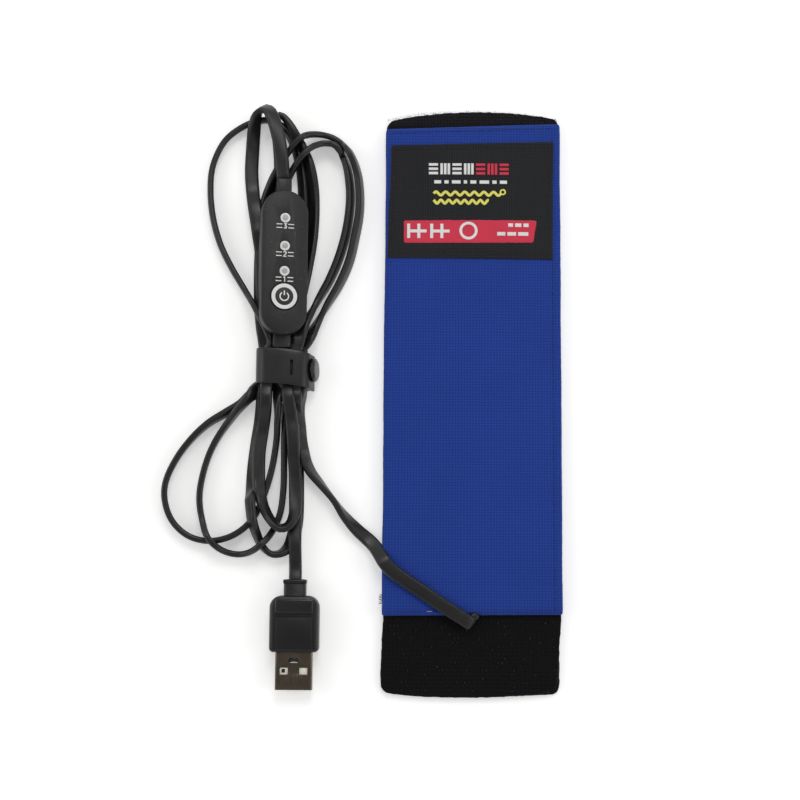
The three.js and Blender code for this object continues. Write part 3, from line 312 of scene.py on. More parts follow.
# Closed mesh of the section swept along the line, with a UV map that runs along the cord.
def sweepCord(name, line, outline):
    work = bmesh.new()
    layer = work.loops.layers.uv.new("along")
    centres = [Vector(row[:3]) for row in line]
    rings, distance, travelled = [], 0.0, []
    for k, centre in enumerate(centres):
        before, after = centres[max(k - 1, 0)], centres[min(k + 1, len(centres) - 1)]
        tangent = (after - before).normalized()
        side = Vector((0, 0, 1)).cross(tangent).normalized()
        upward = tangent.cross(side)
        turn = line[k][3]
        across = side * math.cos(turn) + upward * math.sin(turn)
        through = upward * math.cos(turn) - side * math.sin(turn)
        rings.append([work.verts.new(centre + across * u + through * v) for u, v in outline])
        distance += (centre - before).length
        travelled.append(distance)
    count = len(outline)
    for k in range(len(rings) - 1):
        near, beyond = travelled[k], travelled[k + 1]
        for j in range(count):
            n = (j + 1) % count
            face = work.faces.new((rings[k][j], rings[k][n], rings[k + 1][n], rings[k + 1][j]))
            face.smooth = True
            ends = ((near, j), (near, j + 1), (beyond, j + 1), (beyond, j))
            for loop, (u, v) in zip(face.loops, ends):
                loop[layer].uv = (u * 100, v / count)
    work.faces.new(rings[0])
    work.faces.new(list(reversed(rings[-1])))
    return pieceFromWork(name, work)


routes = (padToControllerRoute, controllerToPlugRoute)
cordLines = settleCords([smoothLine(route, cordLook["step"]) for route in routes], cordLook)
padCord = sweepCord("pad_cord", cordLines[0], flatSection(cordLook, cordLook["padWidth"]))
plugCord = sweepCord("plug_cord", cordLines[1], flatSection(cordLook, cordLook["plugWidth"]))
for line, name in zip(cordLines, ("pad_cord", "plug_cord")):
    total = np.linalg.norm(np.diff(line[:, :3], axis=0), axis=1).sum()
    print(f"stage: {name} {total:.3f} m long")


def node(tree, kind, inputs=None, **settings):
    made = tree.nodes.new(kind)
    for name, value in settings.items():
        setattr(made, name, value)
    for name, value in (inputs or {}).items():
        if isinstance(value, bpy.types.NodeSocket):
            tree.links.new(value, made.inputs[name])
        else:
            made.inputs[name].default_value = value
    return made


def math2(tree, operation, a, b=0.0, c=0.0):
    return node(tree, "ShaderNodeMath", {0: a, 1: b, 2: c}, operation=operation).outputs[0]


def noiseTexture(tree, place, scale, detail, **more):
    return node(tree, "ShaderNodeTexNoise", {"Vector": place, "Scale": scale, "Detail": detail, **more})


# Shared node groups. Each puts out only what changes over the surface.
def newGroup(name, inputs, outputs):
    group = bpy.data.node_groups.new(name, "ShaderNodeTree")
    group.interface.new_socket(name="Vector", in_out="INPUT", socket_type="NodeSocketVector")
    for label, value in inputs:
        socket = group.interface.new_socket(name=label, in_out="INPUT", socket_type="NodeSocketFloat")
        socket.default_value = value
    for label in outputs:
        group.interface.new_socket(name=label, in_out="OUTPUT", socket_type="NodeSocketFloat")
    return group, group.nodes.new("NodeGroupInput").outputs, group.nodes.new("NodeGroupOutput").inputs


# Plain weave on X and Y: threads a pitch apart, over and under each other in turn.
def makeWeaveGroup():
    group, given, out = newGroup("woven threads", [("Pitch", 0.0007), ("Unevenness", 0.15)],
                                 ["Height", "Thread"])
    drift = noiseTexture(group, given["Vector"], 90.0, 2.0)
    shift = math2(group, "MULTIPLY", drift.outputs["Fac"], given["Unevenness"])
    parts = node(group, "ShaderNodeSeparateXYZ", {0: given["Vector"]})
    turns, ridges = [], []
    for axis in "XY":
        count = math2(group, "DIVIDE", parts.outputs[axis], given["Pitch"])
        turns.append(math2(group, "ADD", count, shift))
        wave = math2(group, "SINE", math2(group, "MULTIPLY", turns[-1], math.pi))
        ridges.append(math2(group, "ABSOLUTE", wave))
    cells = [math2(group, "FLOOR", t) for t in turns]
    over = math2(group, "PINGPONG", math2(group, "ADD", cells[0], cells[1]), 1.0)
    first = math2(group, "MULTIPLY", ridges[0], math2(group, "MULTIPLY_ADD", over, 0.5, 0.5))
    under = math2(group, "SUBTRACT", 1.0, over)
    second = math2(group, "MULTIPLY", ridges[1], math2(group, "MULTIPLY_ADD", under, 0.5, 0.5))
    group.links.new(math2(group, "MAXIMUM", first, second), out["Height"])
    group.links.new(math2(group, "MULTIPLY", ridges[0], ridges[1]), out["Thread"])
    return group


# Fine grain for moulded plastic: height, a soft mottling and rare pale specks.
def makeGrainGroup():
    group, given, out = newGroup("moulded grain", [("Grain", 3500.0), ("Mottle", 120.0), ("Speck", 900.0)],
                                 ["Height", "Mottle", "Specks"])
    fine = noiseTexture(group, given["Vector"], given["Grain"], 3.0, Roughness=0.6)
    soft = noiseTexture(group, given["Vector"], given["Mottle"], 3.0)
    dots = node(group, "ShaderNodeTexVoronoi", {"Vector": given["Vector"], "Scale": given["Speck"]})
    near = math2(group, "LESS_THAN", dots.outputs["Distance"], 0.16)
    pick = node(group, "ShaderNodeSeparateXYZ", {0: dots.outputs["Color"]})
    some = math2(group, "GREATER_THAN", pick.outputs["X"], 0.72)
    group.links.new(fine.outputs["Fac"], out["Height"])
    group.links.new(soft.outputs["Fac"], out["Mottle"])
    group.links.new(math2(group, "MULTIPLY", near, some), out["Specks"])
    return group


weaveGroup = makeWeaveGroup()
grainGroup = makeGrainGroup()


def newMaterial(name, roughness=0.5, metallic=0.0):
    made = bpy.data.materials.new(name)
    made.use_nodes = True
    tree = made.node_tree
    shader = next(n for n in tree.nodes if n.type == "BSDF_PRINCIPLED")
    shader.inputs["Roughness"].default_value = roughness
    shader.inputs["Metallic"].default_value = metallic
    place = tree.nodes.new("ShaderNodeTexCoord")
    return made, tree, shader, place.outputs["Object"]


def grouped(tree, group, **inputs):
    return node(tree, "ShaderNodeGroup", inputs, node_tree=group)


def colorBetween(tree, factor, low, high):
    low, high = (v if isinstance(v, bpy.types.NodeSocket) else (*v, 1.0) for v in (low, high))
    return node(tree, "ShaderNodeMix", {0: factor, 6: low, 7: high}, data_type="RGBA").outputs[2]


def numberBetween(tree, factor, low, high):
    return node(tree, "ShaderNodeMapRange", {"Value": factor, "To Min": low, "To Max": high}).outputs[0]


def bumped(tree, shader, height, strength, distance):
    bump = node(tree, "ShaderNodeBump", {"Strength": strength, "Distance": distance, "Height": height})
    tree.links.new(bump.outputs["Normal"], shader.inputs["Normal"])


def wovenMaterial(name, low, high, pitch, rough, sheen, depth, fluff=0.0):
    made, tree, shader, place = newMaterial(name, rough)
    height = grouped(tree, weaveGroup, Vector=place, Pitch=pitch).outputs["Height"]
    # The colour follows the weave's height: painted shade in the gaps between threads and on the under
    # threads, times a random blotch of tone.
    blotch = noiseTexture(tree, place, 60.0, 4.0)
    tone = math2(tree, "MULTIPLY", height, numberBetween(tree, blotch.outputs["Fac"], 0.75, 1.2))
    tree.links.new(colorBetween(tree, tone, low, high), shader.inputs["Base Color"])
    shader.inputs["Sheen Weight"].default_value = sheen
    shader.inputs["Sheen Roughness"].default_value = 0.5
    shader.inputs["Specular IOR Level"].default_value = 0.12
    if fluff:
        fuzz = noiseTexture(tree, place, 2600.0, 3.0)
        height = math2(tree, "MULTIPLY_ADD", fuzz.outputs["Fac"], fluff, height)
    bumped(tree, shader, height, 0.6, depth)
    return made


def mouldedMaterial(name, low, high, rough, grain=3500.0, depth=0.00003, specks=None):
    made, tree, shader, place = newMaterial(name, rough)
    skin = grouped(tree, grainGroup, Vector=place, Grain=grain)
    color = colorBetween(tree, skin.outputs["Mottle"], low, high)
    if specks:
        color = colorBetween(tree, skin.outputs["Specks"], color, specks)
    tree.links.new(color, shader.inputs["Base Color"])
    tree.links.new(numberBetween(tree, skin.outputs["Mottle"], rough - 0.07, rough + 0.09),
                   shader.inputs["Roughness"])
    bumped(tree, shader, skin.outputs["Height"], 0.5, depth)
    return made


def metalMaterial(name, color, rough, brush=(900.0, 60.0, 900.0)):
    made, tree, shader, place = newMaterial(name, rough, 1.0)
    stretch = node(tree, "ShaderNodeMapping", {"Vector": place, "Scale": brush})
    lines = noiseTexture(tree, stretch.outputs[0], 4.0, 4.0)
    darker = tuple(c * 0.72 for c in color)
    tree.links.new(colorBetween(tree, lines.outputs["Fac"], darker, color), shader.inputs["Base Color"])
    tree.links.new(numberBetween(tree, lines.outputs["Fac"], rough - 0.06, rough + 0.12),
                   shader.inputs["Roughness"])
    bumped(tree, shader, lines.outputs["Fac"], 0.15, 0.00002)
    return made


def cordMaterial():
    made, tree, shader, place = newMaterial("cord jacket", 0.36)
    along = node(tree, "ShaderNodeUVMap", uv_map="along")
    stretch = node(tree, "ShaderNodeMapping", {"Vector": along.outputs[0], "Scale": (0.6, 14.0, 1.0)})
    streaks = noiseTexture(tree, stretch.outputs[0], 3.0, 4.0)
    skin = grouped(tree, grainGroup, Vector=place, Grain=2200.0)
    tone = math2(tree, "MULTIPLY", streaks.outputs["Fac"], skin.outputs["Mottle"])
    tree.links.new(colorBetween(tree, tone, (0.006, 0.006, 0.006), (0.020, 0.019, 0.017)),
                   shader.inputs["Base Color"])
    tree.links.new(numberBetween(tree, streaks.outputs["Fac"], 0.27, 0.47), shader.inputs["Roughness"])
    height = math2(tree, "MULTIPLY_ADD", skin.outputs["Height"], 0.3, streaks.outputs["Fac"])
    bumped(tree, shader, height, 0.25, 0.00005)
    return made


# Cloths: low colour (painted shade in the gaps between threads) and high colour, thread pitch, roughness,
# sheen, depth and fluff.
wovenLook = {
    "cover": ("blue woven nylon", (0.008, 0.027, 0.165), (0.021, 0.060, 0.355),
              0.00098, 0.75, 0.06, 0.00012),
    "patch": ("black label cloth", (0.007, 0.007, 0.008), (0.028, 0.029, 0.031),
              0.0008, 0.85, 0.08, 0.00015, 0.8),
    "pile": ("brushed black pile", (0.002, 0.002, 0.003), (0.014, 0.014, 0.017),
             0.0011, 0.9, 0.12, 0.0004, 2.0),
    "hook": ("black hook cloth", (0.0012, 0.0012, 0.0016), (0.005, 0.005, 0.006),
             0.0013, 0.7, 0.0, 0.0003, 1.0),
}
# Plastics, prints and threads: low and high colour, roughness, grain, its depth and the colour of specks.
mouldedLook = {
    "relief": ("black relief plastic", (0.010, 0.010, 0.011), (0.018, 0.018, 0.019), 0.42),
    "case": ("dark textured case", (0.005, 0.005, 0.0048), (0.010, 0.010, 0.0095), 0.46, 4200.0, 0.00009,
             (0.060, 0.060, 0.058)),
    "button": ("button plastic", (0.013, 0.013, 0.013), (0.021, 0.021, 0.020), 0.40),
    "strap": ("strap rubber", (0.007, 0.007, 0.008), (0.014, 0.014, 0.016), 0.36, 2600.0, 0.00005),
    "snap": ("snap plastic", (0.009, 0.009, 0.010), (0.015, 0.015, 0.016), 0.25),
    "plug": ("plug overmould", (0.004, 0.004, 0.005), (0.008, 0.008, 0.009), 0.36, 3000.0, 0.00004),
    "cream": ("cream insulator", (0.84, 0.80, 0.68), (0.92, 0.89, 0.80), 0.5),
    "board": ("green board mask", (0.01, 0.10, 0.035), (0.02, 0.16, 0.06), 0.35),
    "film": ("amber film", (0.40, 0.17, 0.03), (0.52, 0.25, 0.05), 0.3),
    "foam": ("white foam", (0.70, 0.70, 0.68), (0.84, 0.84, 0.82), 0.9, 2200.0, 0.0002),
    "wireRed": ("red insulation", (0.40, 0.015, 0.015), (0.52, 0.03, 0.03), 0.45),
    "whitePrint": ("white print", (0.70, 0.70, 0.68), (0.86, 0.86, 0.85), 0.55),
    "yellowPrint": ("yellow print", (0.72, 0.66, 0.09), (0.86, 0.80, 0.16), 0.6),
    "redPrint": ("red print", (0.56, 0.014, 0.045), (0.72, 0.024, 0.070), 0.6, 2600.0, 0.00006),
    "window": ("milky window", (0.62, 0.62, 0.60), (0.76, 0.76, 0.74), 0.35),
    "lens": ("grey lamp lens", (0.36, 0.36, 0.35), (0.50, 0.50, 0.49), 0.25),
    "blueThread": ("blue thread", (0.006, 0.016, 0.10), (0.014, 0.035, 0.20), 0.7, 5000.0, 0.0001),
    "hookTips": ("hook tips", (0.010, 0.010, 0.012), (0.030, 0.030, 0.034), 0.22),
    # Paler grains over a tenth of the hooks: painted glints.
    "hookGlint": ("hook glints", (0.020, 0.020, 0.022), (0.110, 0.110, 0.120), 0.2, 700.0, 0.00002),
    "paleThread": ("pale thread", (0.40, 0.38, 0.34), (0.62, 0.60, 0.55), 0.8),
    "thread": ("black thread", (0.004, 0.004, 0.004), (0.016, 0.016, 0.016), 0.7, 5000.0, 0.0001),
}
metalLook = {
    # The shell's nickel has a dark base colour: a painted dark reflection.
    "shell": ("thin nickel plate", (0.190, 0.155, 0.122), 0.24),
    "gold": ("gold contact", (0.83, 0.60, 0.22), 0.25),
    "tin": ("bright solder", (0.70, 0.71, 0.73), 0.3),
    "copper": ("etched foil", (0.72, 0.40, 0.22), 0.35),
}
finishes = {"cord": cordMaterial()}
makers = ((wovenMaterial, wovenLook), (mouldedMaterial, mouldedLook), (metalMaterial, metalLook))
for makeFinish, looks in makers:
    for finish, values in looks.items():
        finishes[finish] = makeFinish(*values)


def dress(piece, finish):
    piece.data.materials.clear()
    piece.data.materials.append(finishes[finish])


print("stage: materials")

# The CAD pieces that each finish goes on.
finishNodes = {
    "pile": "lining_panel", "hook": "hook_tab", "cover": "cover_fabric", "patch": "label_patch",
    "redPrint": "label_band", "film": "heating_film", "copper": "heater_trace", "foam": "insulation_foam",
    "tin": "solder_terminal_a solder_terminal_b", "wireRed": "lead_wire_a",
    "relief": "lead_wire_b cord_anchor strain_relief_upper strain_relief_lower",
    "cream": "thermal_cutout switch_plunger capacitor contact_carrier plug_inner_mould"
             " led_chip_1 led_chip_2 led_chip_3",
    "cord": "cord_pad_lead cord_hank cord_controller_arch cord_plug_lead",
    "case": "controller_upper_shell controller_lower_shell", "board": "circuit_board", "button": "button_cap",
    "snap": "switch_body power_transistor control_chip snap_cap snap_stud", "strap": "strap_band",
    "plug": "plug_overmould", "shell": "usb_shell", "window": "light_window_1 light_window_2 light_window_3",
    "gold": "plug_contact_1 plug_contact_2 plug_contact_3 plug_contact_4",
}
nodeFinish = {name: finish for finish, names in finishNodes.items() for name in names.split()}
for name, finish in nodeFinish.items():
    dress(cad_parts[name], finish)
dress(padCord, "cord")
dress(plugCord, "cord")


# Distances from one side to the other, close together at both rims.
def edgeStops(length, gapsAtEdge, spacing):
    rim = [0.0]
    for gap in gapsAtEdge:
        rim.append(rim[-1] + gap)
    middle = length - 2 * rim[-1]
    count = max(2, int(middle / spacing))
    stops = rim + [rim[-1] + middle * k / count for k in range(1, count)]
    return stops + [length - r for r in reversed(rim)]


# Closed panel of cloth between four sides; top gives its upper level at a place.
def clothPanel(name, nodeName, finish, values, top):
    lowLeft, lowRight, highRight, highLeft = (Vector(c) for c in values["corners"])
    width, length = (lowRight - lowLeft).length, (highLeft - lowLeft).length
    acrossStops = edgeStops(width, values["rim"], values["spacing"])
    alongStops = edgeStops(length, values["rim"], values["spacing"])
    ragged, wander = values["ragged"], values["wander"]
    work = bmesh.new()
    grid = []
    for b in alongStops:
        row, v = [], b / length
        for a in acrossStops:
            u = a / width
            place = lowLeft.lerp(lowRight, u).lerp(highLeft.lerp(highRight, u), v)
            bow = 1 - (2 * u - 1) ** 2
            place.y += bow * (v * values["highBow"] - (1 - v) * values["lowBow"])
            side = 1 if u > 0.5 else -1
            toEnd, radius = (b, values["lowCorner"]) if v < 0.5 else (length - b, values["highCorner"])
            if toEnd < radius:
                inset = radius - math.sqrt(max(radius ** 2 - (radius - toEnd) ** 2, 0))
                place.x -= side * inset * abs(2 * u - 1) ** 6
            outer = abs(2 * u - 1)
            place.x += side * ragged * outer ** 40 * noise.noise((7.0 * side, place.y * 700, 0.3))
            place.x += side * wander * outer ** 12 * noise.noise((3.0 * side, place.y * 60, 2.3))
            tip = max(v, 1 - v) ** 60
            end = 1 if v > 0.5 else -1
            place.y += end * ragged * tip * noise.noise((place.x * 800, 4.0 * round(v), 1.7))
            rim = min(a, width - a, b, length - b)
            level = top(place.x, place.y)
            if rim < values["roundEdge"]:
                share = 1 - rim / values["roundEdge"]
                fall = values["drop"] * (1 - math.sqrt(max(1 - share ** 2, 0)))
                level -= (level - values["bottom"]) * fall
            row.append(work.verts.new((place.x, place.y, level)))
        grid.append(row)
    for j in range(len(grid) - 1):
        for i in range(len(grid[0]) - 1):
            work.faces.new((grid[j][i], grid[j][i + 1], grid[j + 1][i + 1], grid[j + 1][i]))
    loop = grid[0][:-1] + [row[-1] for row in grid[:-1]]
    loop += grid[-1][:0:-1] + [row[0] for row in grid[:0:-1]]
    under = [work.verts.new((v.co.x, v.co.y, values["bottom"])) for v in loop]
    for k in range(len(loop)):
        n = (k + 1) % len(loop)
        work.faces.new((loop[n], loop[k], under[k], under[n]))
    work.faces.new(list(reversed(under)))
    bmesh.ops.triangulate(work, faces=[f for f in work.faces if len(f.verts) > 4])
    for face in work.faces:
        face.smooth = True
    piece = pieceFromWork(name, work, finish)
    selectOnly(piece)
    bpy.ops.object.shade_smooth_by_angle(angle=math.radians(50))
    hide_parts(nodeName)
    return piece


def dip(distance, reach):
    return math.exp(-(distance / reach) ** 2)


coverLook = {
    "corners": ((-0.02971, -0.07198), (0.02933, -0.07125), (0.02922, 0.09329), (-0.02957, 0.09113)),
    "rim": (0.00012, 0.00022, 0.00036, 0.0005, 0.0006), "spacing": 0.0009,
    "lowBow": 0.0, "highBow": 0.0, "lowCorner": 0.0008, "highCorner": 0.0012,
    "ragged": 0.00006, "wander": 0.00022, "roundEdge": 0.0014, "drop": 0.42, "bottom": 0.0010,
    "top": 0.0047, "crown": 0.00025, "halfWidth": 0.0295, "right": 0.02928, "left": -0.02964,
    "hemFromRight": 0.0028, "foldFromLeft": 0.0013,
    "lowSeam": -0.0618, "hemLine": -0.0700, "topSeam": 0.0898, "groove": 0.00022, "grooveReach": 0.00042,
    "wave": 0.00022, "pucker": 0.00014, "puckerReach": 0.0022,
}


def coverTop(x, y):
    values = coverLook
    reach = values["grooveReach"]
    fromHem = values["right"] - values["hemFromRight"] - x
    level = values["top"] + values["crown"] * (1 - (x / values["halfWidth"]) ** 2)
    level += values["wave"] * noise.noise((x * 45, y * 32, 0.4))
    seams = dip(fromHem, reach) + 0.8 * dip(x - values["left"] - values["foldFromLeft"], reach)
    seams += 0.8 * dip(y - values["lowSeam"], reach) + dip(y - values["hemLine"], reach)
    seams += 0.5 * dip(y - values["topSeam"], reach)
    near = max(dip(fromHem, values["puckerReach"]), dip(y - values["hemLine"], values["puckerReach"]))
    level -= values["groove"] * min(seams, 1.3)
    return level + values["pucker"] * near * noise.noise((x * 300, y * 300, 5.1))


padCover = clothPanel("pad_cover", "cover_fabric", "cover", coverLook, coverTop)

pileLook = {
    "corners": ((-0.0293, -0.0970), (0.0285, -0.0970), (0.02915, 0.0957), (-0.02935, 0.0947)),
    "rim": (0.0001, 0.0002, 0.0003, 0.0005), "spacing": 0.0011,
    "lowBow": 0.0008, "highBow": 0.0028, "lowCorner": 0.0030, "highCorner": 0.0030,
    "ragged": 0.00022, "wander": 0.0002, "roundEdge": 0.0007, "drop": 0.8, "bottom": 0.0,
    "underCover": 0.0009, "lip": 0.0024, "lipFrom": 0.0885, "lipRise": 0.004, "tuft": 0.00022,
}


def pileTop(x, y):
    values = pileLook
    onLip = min(max((y - values["lipFrom"]) / values["lipRise"], 0), 1)
    level = values["underCover"] + (values["lip"] - values["underCover"]) * onLip
    return level + onLip * values["tuft"] * noise.noise((x * 500, y * 500, 2.0))


pileLining = clothPanel("pile_lining", "lining_panel", "pile", pileLook, pileTop)

tabLook = {
    "corners": ((-0.03010, -0.0969), (0.02760, -0.0962), (0.02905, -0.0703), (-0.02925, -0.0703)),
    "rim": (0.0001, 0.0002, 0.0003, 0.0005), "spacing": 0.0010,
    "lowBow": 0.0016, "highBow": 0.0, "lowCorner": 0.0034, "highCorner": 0.0001,
    "ragged": 0.0002, "wander": 0.00025, "roundEdge": 0.0006, "drop": 0.7, "bottom": 0.0010,
    "top": 0.0024, "wave": 0.00018, "tuft": 0.00008,
}


def tabTop(x, y):
    waves = tabLook["wave"] * noise.noise((x * 60, y * 60, 9.0))
    return tabLook["top"] + waves + tabLook["tuft"] * noise.noise((x * 700, y * 700, 3.0))


hookTab = clothPanel("hook_panel", "hook_tab", "hook", tabLook, tabTop)

labelLook = {
    "corners": ((-0.02887, 0.04645), (0.02636, 0.04616), (0.02693, 0.08662), (-0.02770, 0.08509)),
    "rim": (0.0001, 0.0002, 0.0003), "spacing": 0.0010,
    "lowBow": 0.0, "highBow": 0.0, "lowCorner": 0.0006, "highCorner": 0.0007,
    "ragged": 0.00012, "wander": 0.00016, "roundEdge": 0.0003, "drop": 0.5, "bottom": 0.0043,
    "thickness": 0.0006, "low": 0.0463, "height": 0.0395, "highLeft": -0.0277, "width": 0.0546,
    "seamIn": 0.0016, "seamReach": 0.0005, "seamDip": 0.00018, "nap": 0.00004,
}


def labelTop(x, y):
    values, corners = labelLook, labelLook["corners"]
    up = (y - values["low"]) / values["height"]
    left = corners[0][0] + (corners[3][0] - corners[0][0]) * up
    right = corners[1][0] + (corners[2][0] - corners[1][0]) * up
    high = corners[3][1] + (corners[2][1] - corners[3][1]) * (x - values["highLeft"]) / values["width"]
    edge = min(abs(x - left), abs(right - x), abs(high - y), abs(y - values["low"]))
    seam = values["seamDip"] * dip(edge - values["seamIn"], values["seamReach"])
    return coverTop(x, y) + values["thickness"] - seam + values["nap"] * noise.noise((x * 900, y * 900, 6.0))


labelPatch = clothPanel("label_cloth", "label_patch", "patch", labelLook, labelTop)
print("stage: pad")


# Merged copy of a CAD node with soft shading and fine rounded edges, which stands for it.
def standIn(nodeName, name, bevel, segments=2, shift=(0, 0, 0), angle=math.radians(30)):
    piece = bpy.data.objects.new(name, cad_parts[nodeName].data.copy())
    piece.data.transform(Matrix.Translation(shift))
    bpy.context.scene.collection.objects.link(piece)
    selectOnly(piece)
    bpy.ops.object.mode_set(mode="EDIT")
    bpy.ops.mesh.select_all(action="SELECT")
    bpy.ops.mesh.remove_doubles(threshold=0.000005)
    bpy.ops.mesh.dissolve_limited(angle_limit=math.radians(1.0))
    bpy.ops.object.mode_set(mode="OBJECT")
    applyModifier(piece, "BEVEL", width=bevel, segments=segments, limit_method="ANGLE", angle_limit=angle,
                  use_clamp_overlap=True)
    bpy.ops.object.shade_smooth_by_angle(angle=angle)
    dress(piece, nodeFinish[nodeName])
    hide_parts(nodeName)
    return piece


controllerLook = {
    "shift": (0.0003, -0.0008, 0.0), "place": (-0.0632, 0.04305, 0.0092), "roll": math.radians(12),
    "top": 0.00425, "lampAt": (0.0147, 0.0053, -0.0031), "buttonAt": -0.0116, "buttonTop": 0.00465,
    "ring": 0.00128, "ringLine": 0.00034, "ringRise": 0.00003, "printHeight": 0.00012,
    "lens": 0.00092, "lensShape": (1.12, 1.12, 0.16), "lensSink": 0.00008,
    "buttonRing": 0.0036, "buttonLine": 0.00062,
    "markLine": 0.00042, "markRadius": 0.0014, "markStem": (0.0004, 0.0019),
    "captionBelow": 0.00275, "captionHeight": 0.0017, "captionLine": 0.00034,
    "captionBars": (0.0010, 0.0029), "barRows": (0.35, -0.35), "barLine": 0.0003,
}
controllerTurn = (Matrix.Translation(controllerLook["place"])
                  @ Matrix.Rotation(controllerLook["roll"], 4, "Y"))
stripPieces = [standIn(*row, controllerLook["shift"]) for row in (
    ("controller_upper_shell", "case_upper", 0.00028, 3),
    ("controller_lower_shell", "case_lower", 0.00025, 2),
    ("strain_relief_upper", "neck_upper", 0.0002, 2),
    ("strain_relief_lower", "neck_lower", 0.0002, 2))]
buttonPieces = [standIn("button_cap", "button_face", 0.0003, 3, controllerLook["shift"])]
stripPieces += [standIn(*row) for row in (
    ("snap_cap", "snap_disc", 0.0001), ("plug_overmould", "plug_body", 0.0002),
    ("usb_shell", "plug_shell", 0.00008))]


# Bakes the active object's place into its mesh and finishes it.
def settlePiece(name, finish, turn=None, angle=40):
    piece = bpy.context.object
    piece.name = name
    piece.data.transform(piece.matrix_world)
    piece.matrix_world = Matrix.Identity(4)
    if turn:
        piece.data.transform(turn)
    bpy.ops.object.shade_smooth_by_angle(angle=math.radians(angle))
    dress(piece, finish)
    return piece


def flatRing(name, radius, line, place):
    deselectAll()
    bpy.ops.mesh.primitive_torus_add(major_radius=radius, minor_radius=line, major_segments=48,
                                     minor_segments=10, location=place)
    resizeAll((1, 1, controllerLook["printHeight"] / line), place)
    return settlePiece(name, "whitePrint", controllerTurn)


# Lamp lenses with a white ring each, and the button's ring, on the controller's face.
for k, along in enumerate(controllerLook["lampAt"], start=1):
    top = controllerLook["top"]
    stripPieces.append(flatRing(f"lamp_ring_{k}", controllerLook["ring"], controllerLook["ringLine"],
                                (0, along, top + controllerLook["ringRise"])))
    lensAt = (0, along, top - controllerLook["lensSink"])
    deselectAll()
    bpy.ops.mesh.primitive_uv_sphere_add(segments=32, ring_count=12, radius=controllerLook["lens"],
                                         location=lensAt)
    resizeAll(controllerLook["lensShape"], lensAt)
    lens = settlePiece(f"lamp_lens_{k}", "lens", controllerTurn)
    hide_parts(f"light_window_{k}")
    stripPieces.append(lens)
buttonPieces.append(flatRing("button_ring", controllerLook["buttonRing"], controllerLook["buttonLine"],
                             (0, controllerLook["buttonAt"], controllerLook["buttonTop"])))


# Closed flat strokes, each a width and its points, that follow a level.
def strokePiece(name, strokes, level, finish, lift=0.00010, depth=0.00022):
    work = bmesh.new()
    for width, points in strokes:
        closed = points[0] == points[-1]
        line = [Vector(p) for p in (points[:-1] if closed else points)]
        dense = []
        for k in range(len(line) - (0 if closed else 1)):
            a, b = line[k], line[(k + 1) % len(line)]
            parts = max(1, int((b - a).length / 0.0009))
            dense += [a.lerp(b, j / parts) for j in range(parts)]
        if not closed:
            dense.append(line[-1])
        count = len(dense)
        rows = []
        for k, at in enumerate(dense):
            if closed:
                before, after = dense[k - 1], dense[(k + 1) % count]
            else:
                before, after = dense[max(k - 1, 0)], dense[min(k + 1, count - 1)]
            into, out = at - before, after - at
            if into.length == 0:
                into = out
            if out.length == 0:
                out = into
            into, out = into.normalized(), out.normalized()
            along = (into + out).normalized()
            side = Vector((-along.y, along.x)) * (width / 2) / max(along.dot(into), 0.6)
            cells = []
            for place in (at + side, at - side):
                high = level(place.x, place.y) + lift
                cells += [work.verts.new((*place, high)), work.verts.new((*place, high - depth))]
            rows.append(cells)
        for k in range(count - (0 if closed else 1)):
            (a, a2, b, b2), (c, c2, d, d2) = rows[k], rows[(k + 1) % count]
            for corners in ((a, b, d, c), (a2, c2, d2, b2), (a, c, c2, a2), (b, b2, d2, d)):
                work.faces.new(corners)
        if not closed:
            for a, a2, b, b2 in (rows[0], rows[-1]):
                work.faces.new((a, a2, b2, b))
    return pieceFromWork(name, work, finish)


def facePrint(name, strokes, top):
    piece = strokePiece(name, strokes, lambda x, y: top, "whitePrint", 0.00004, 0.0001)
    piece.data.transform(controllerTurn)
    return piece


digitShapes = {
    "1": ((-0.2, 0.3), (0.05, 0.5), (0.05, -0.5)),
    "2": ((-0.3, 0.35), (-0.05, 0.5), (0.25, 0.35), (0.2, 0.05), (-0.3, -0.45), (0.3, -0.45)),
    "3": ((-0.28, 0.45), (0.22, 0.45), (-0.02, 0.08), (0.25, -0.12), (0.12, -0.42), (-0.28, -0.4)),
}
captionStrokes = []
for digit, along in zip("321", controllerLook["lampAt"]):
    size = controllerLook["captionHeight"]
    middle = along - controllerLook["captionBelow"]
    points = [(x * size, middle + y * size) for x, y in digitShapes[digit]]
    captionStrokes.append((controllerLook["captionLine"], points))
    for side in (-1, 1):
        for row in controllerLook["barRows"]:
            bar = [(side * x, middle + row * size) for x in controllerLook["captionBars"]]
            captionStrokes.append((controllerLook["barLine"], bar))
stripPieces.append(facePrint("caption_print", captionStrokes, controllerLook["top"]))


# Points of a circle, or of a part of one, round a middle.
def arcPoints(middle, radius, angles):
    turns = [math.radians(a) for a in angles]
    return [(middle[0] + radius * math.cos(a), middle[1] + radius * math.sin(a)) for a in turns]


markArc = arcPoints((0, controllerLook["buttonAt"]), controllerLook["markRadius"], range(125, 416, 10))
markStem = [(0, controllerLook["buttonAt"] + y) for y in controllerLook["markStem"]]
markStrokes = [(controllerLook["markLine"], points) for points in (markArc, markStem)]
buttonPieces.append(facePrint("button_mark", markStrokes, controllerLook["buttonTop"]))


def roundedBlock(name, finish, place, size, bevel, turn=None):
    deselectAll()
    bpy.ops.mesh.primitive_cube_add(size=1, location=place)
    resizeAll(size, place)
    applyModifier(bpy.context.object, "BEVEL", width=bevel, segments=3)
    return settlePiece(name, finish, turn)


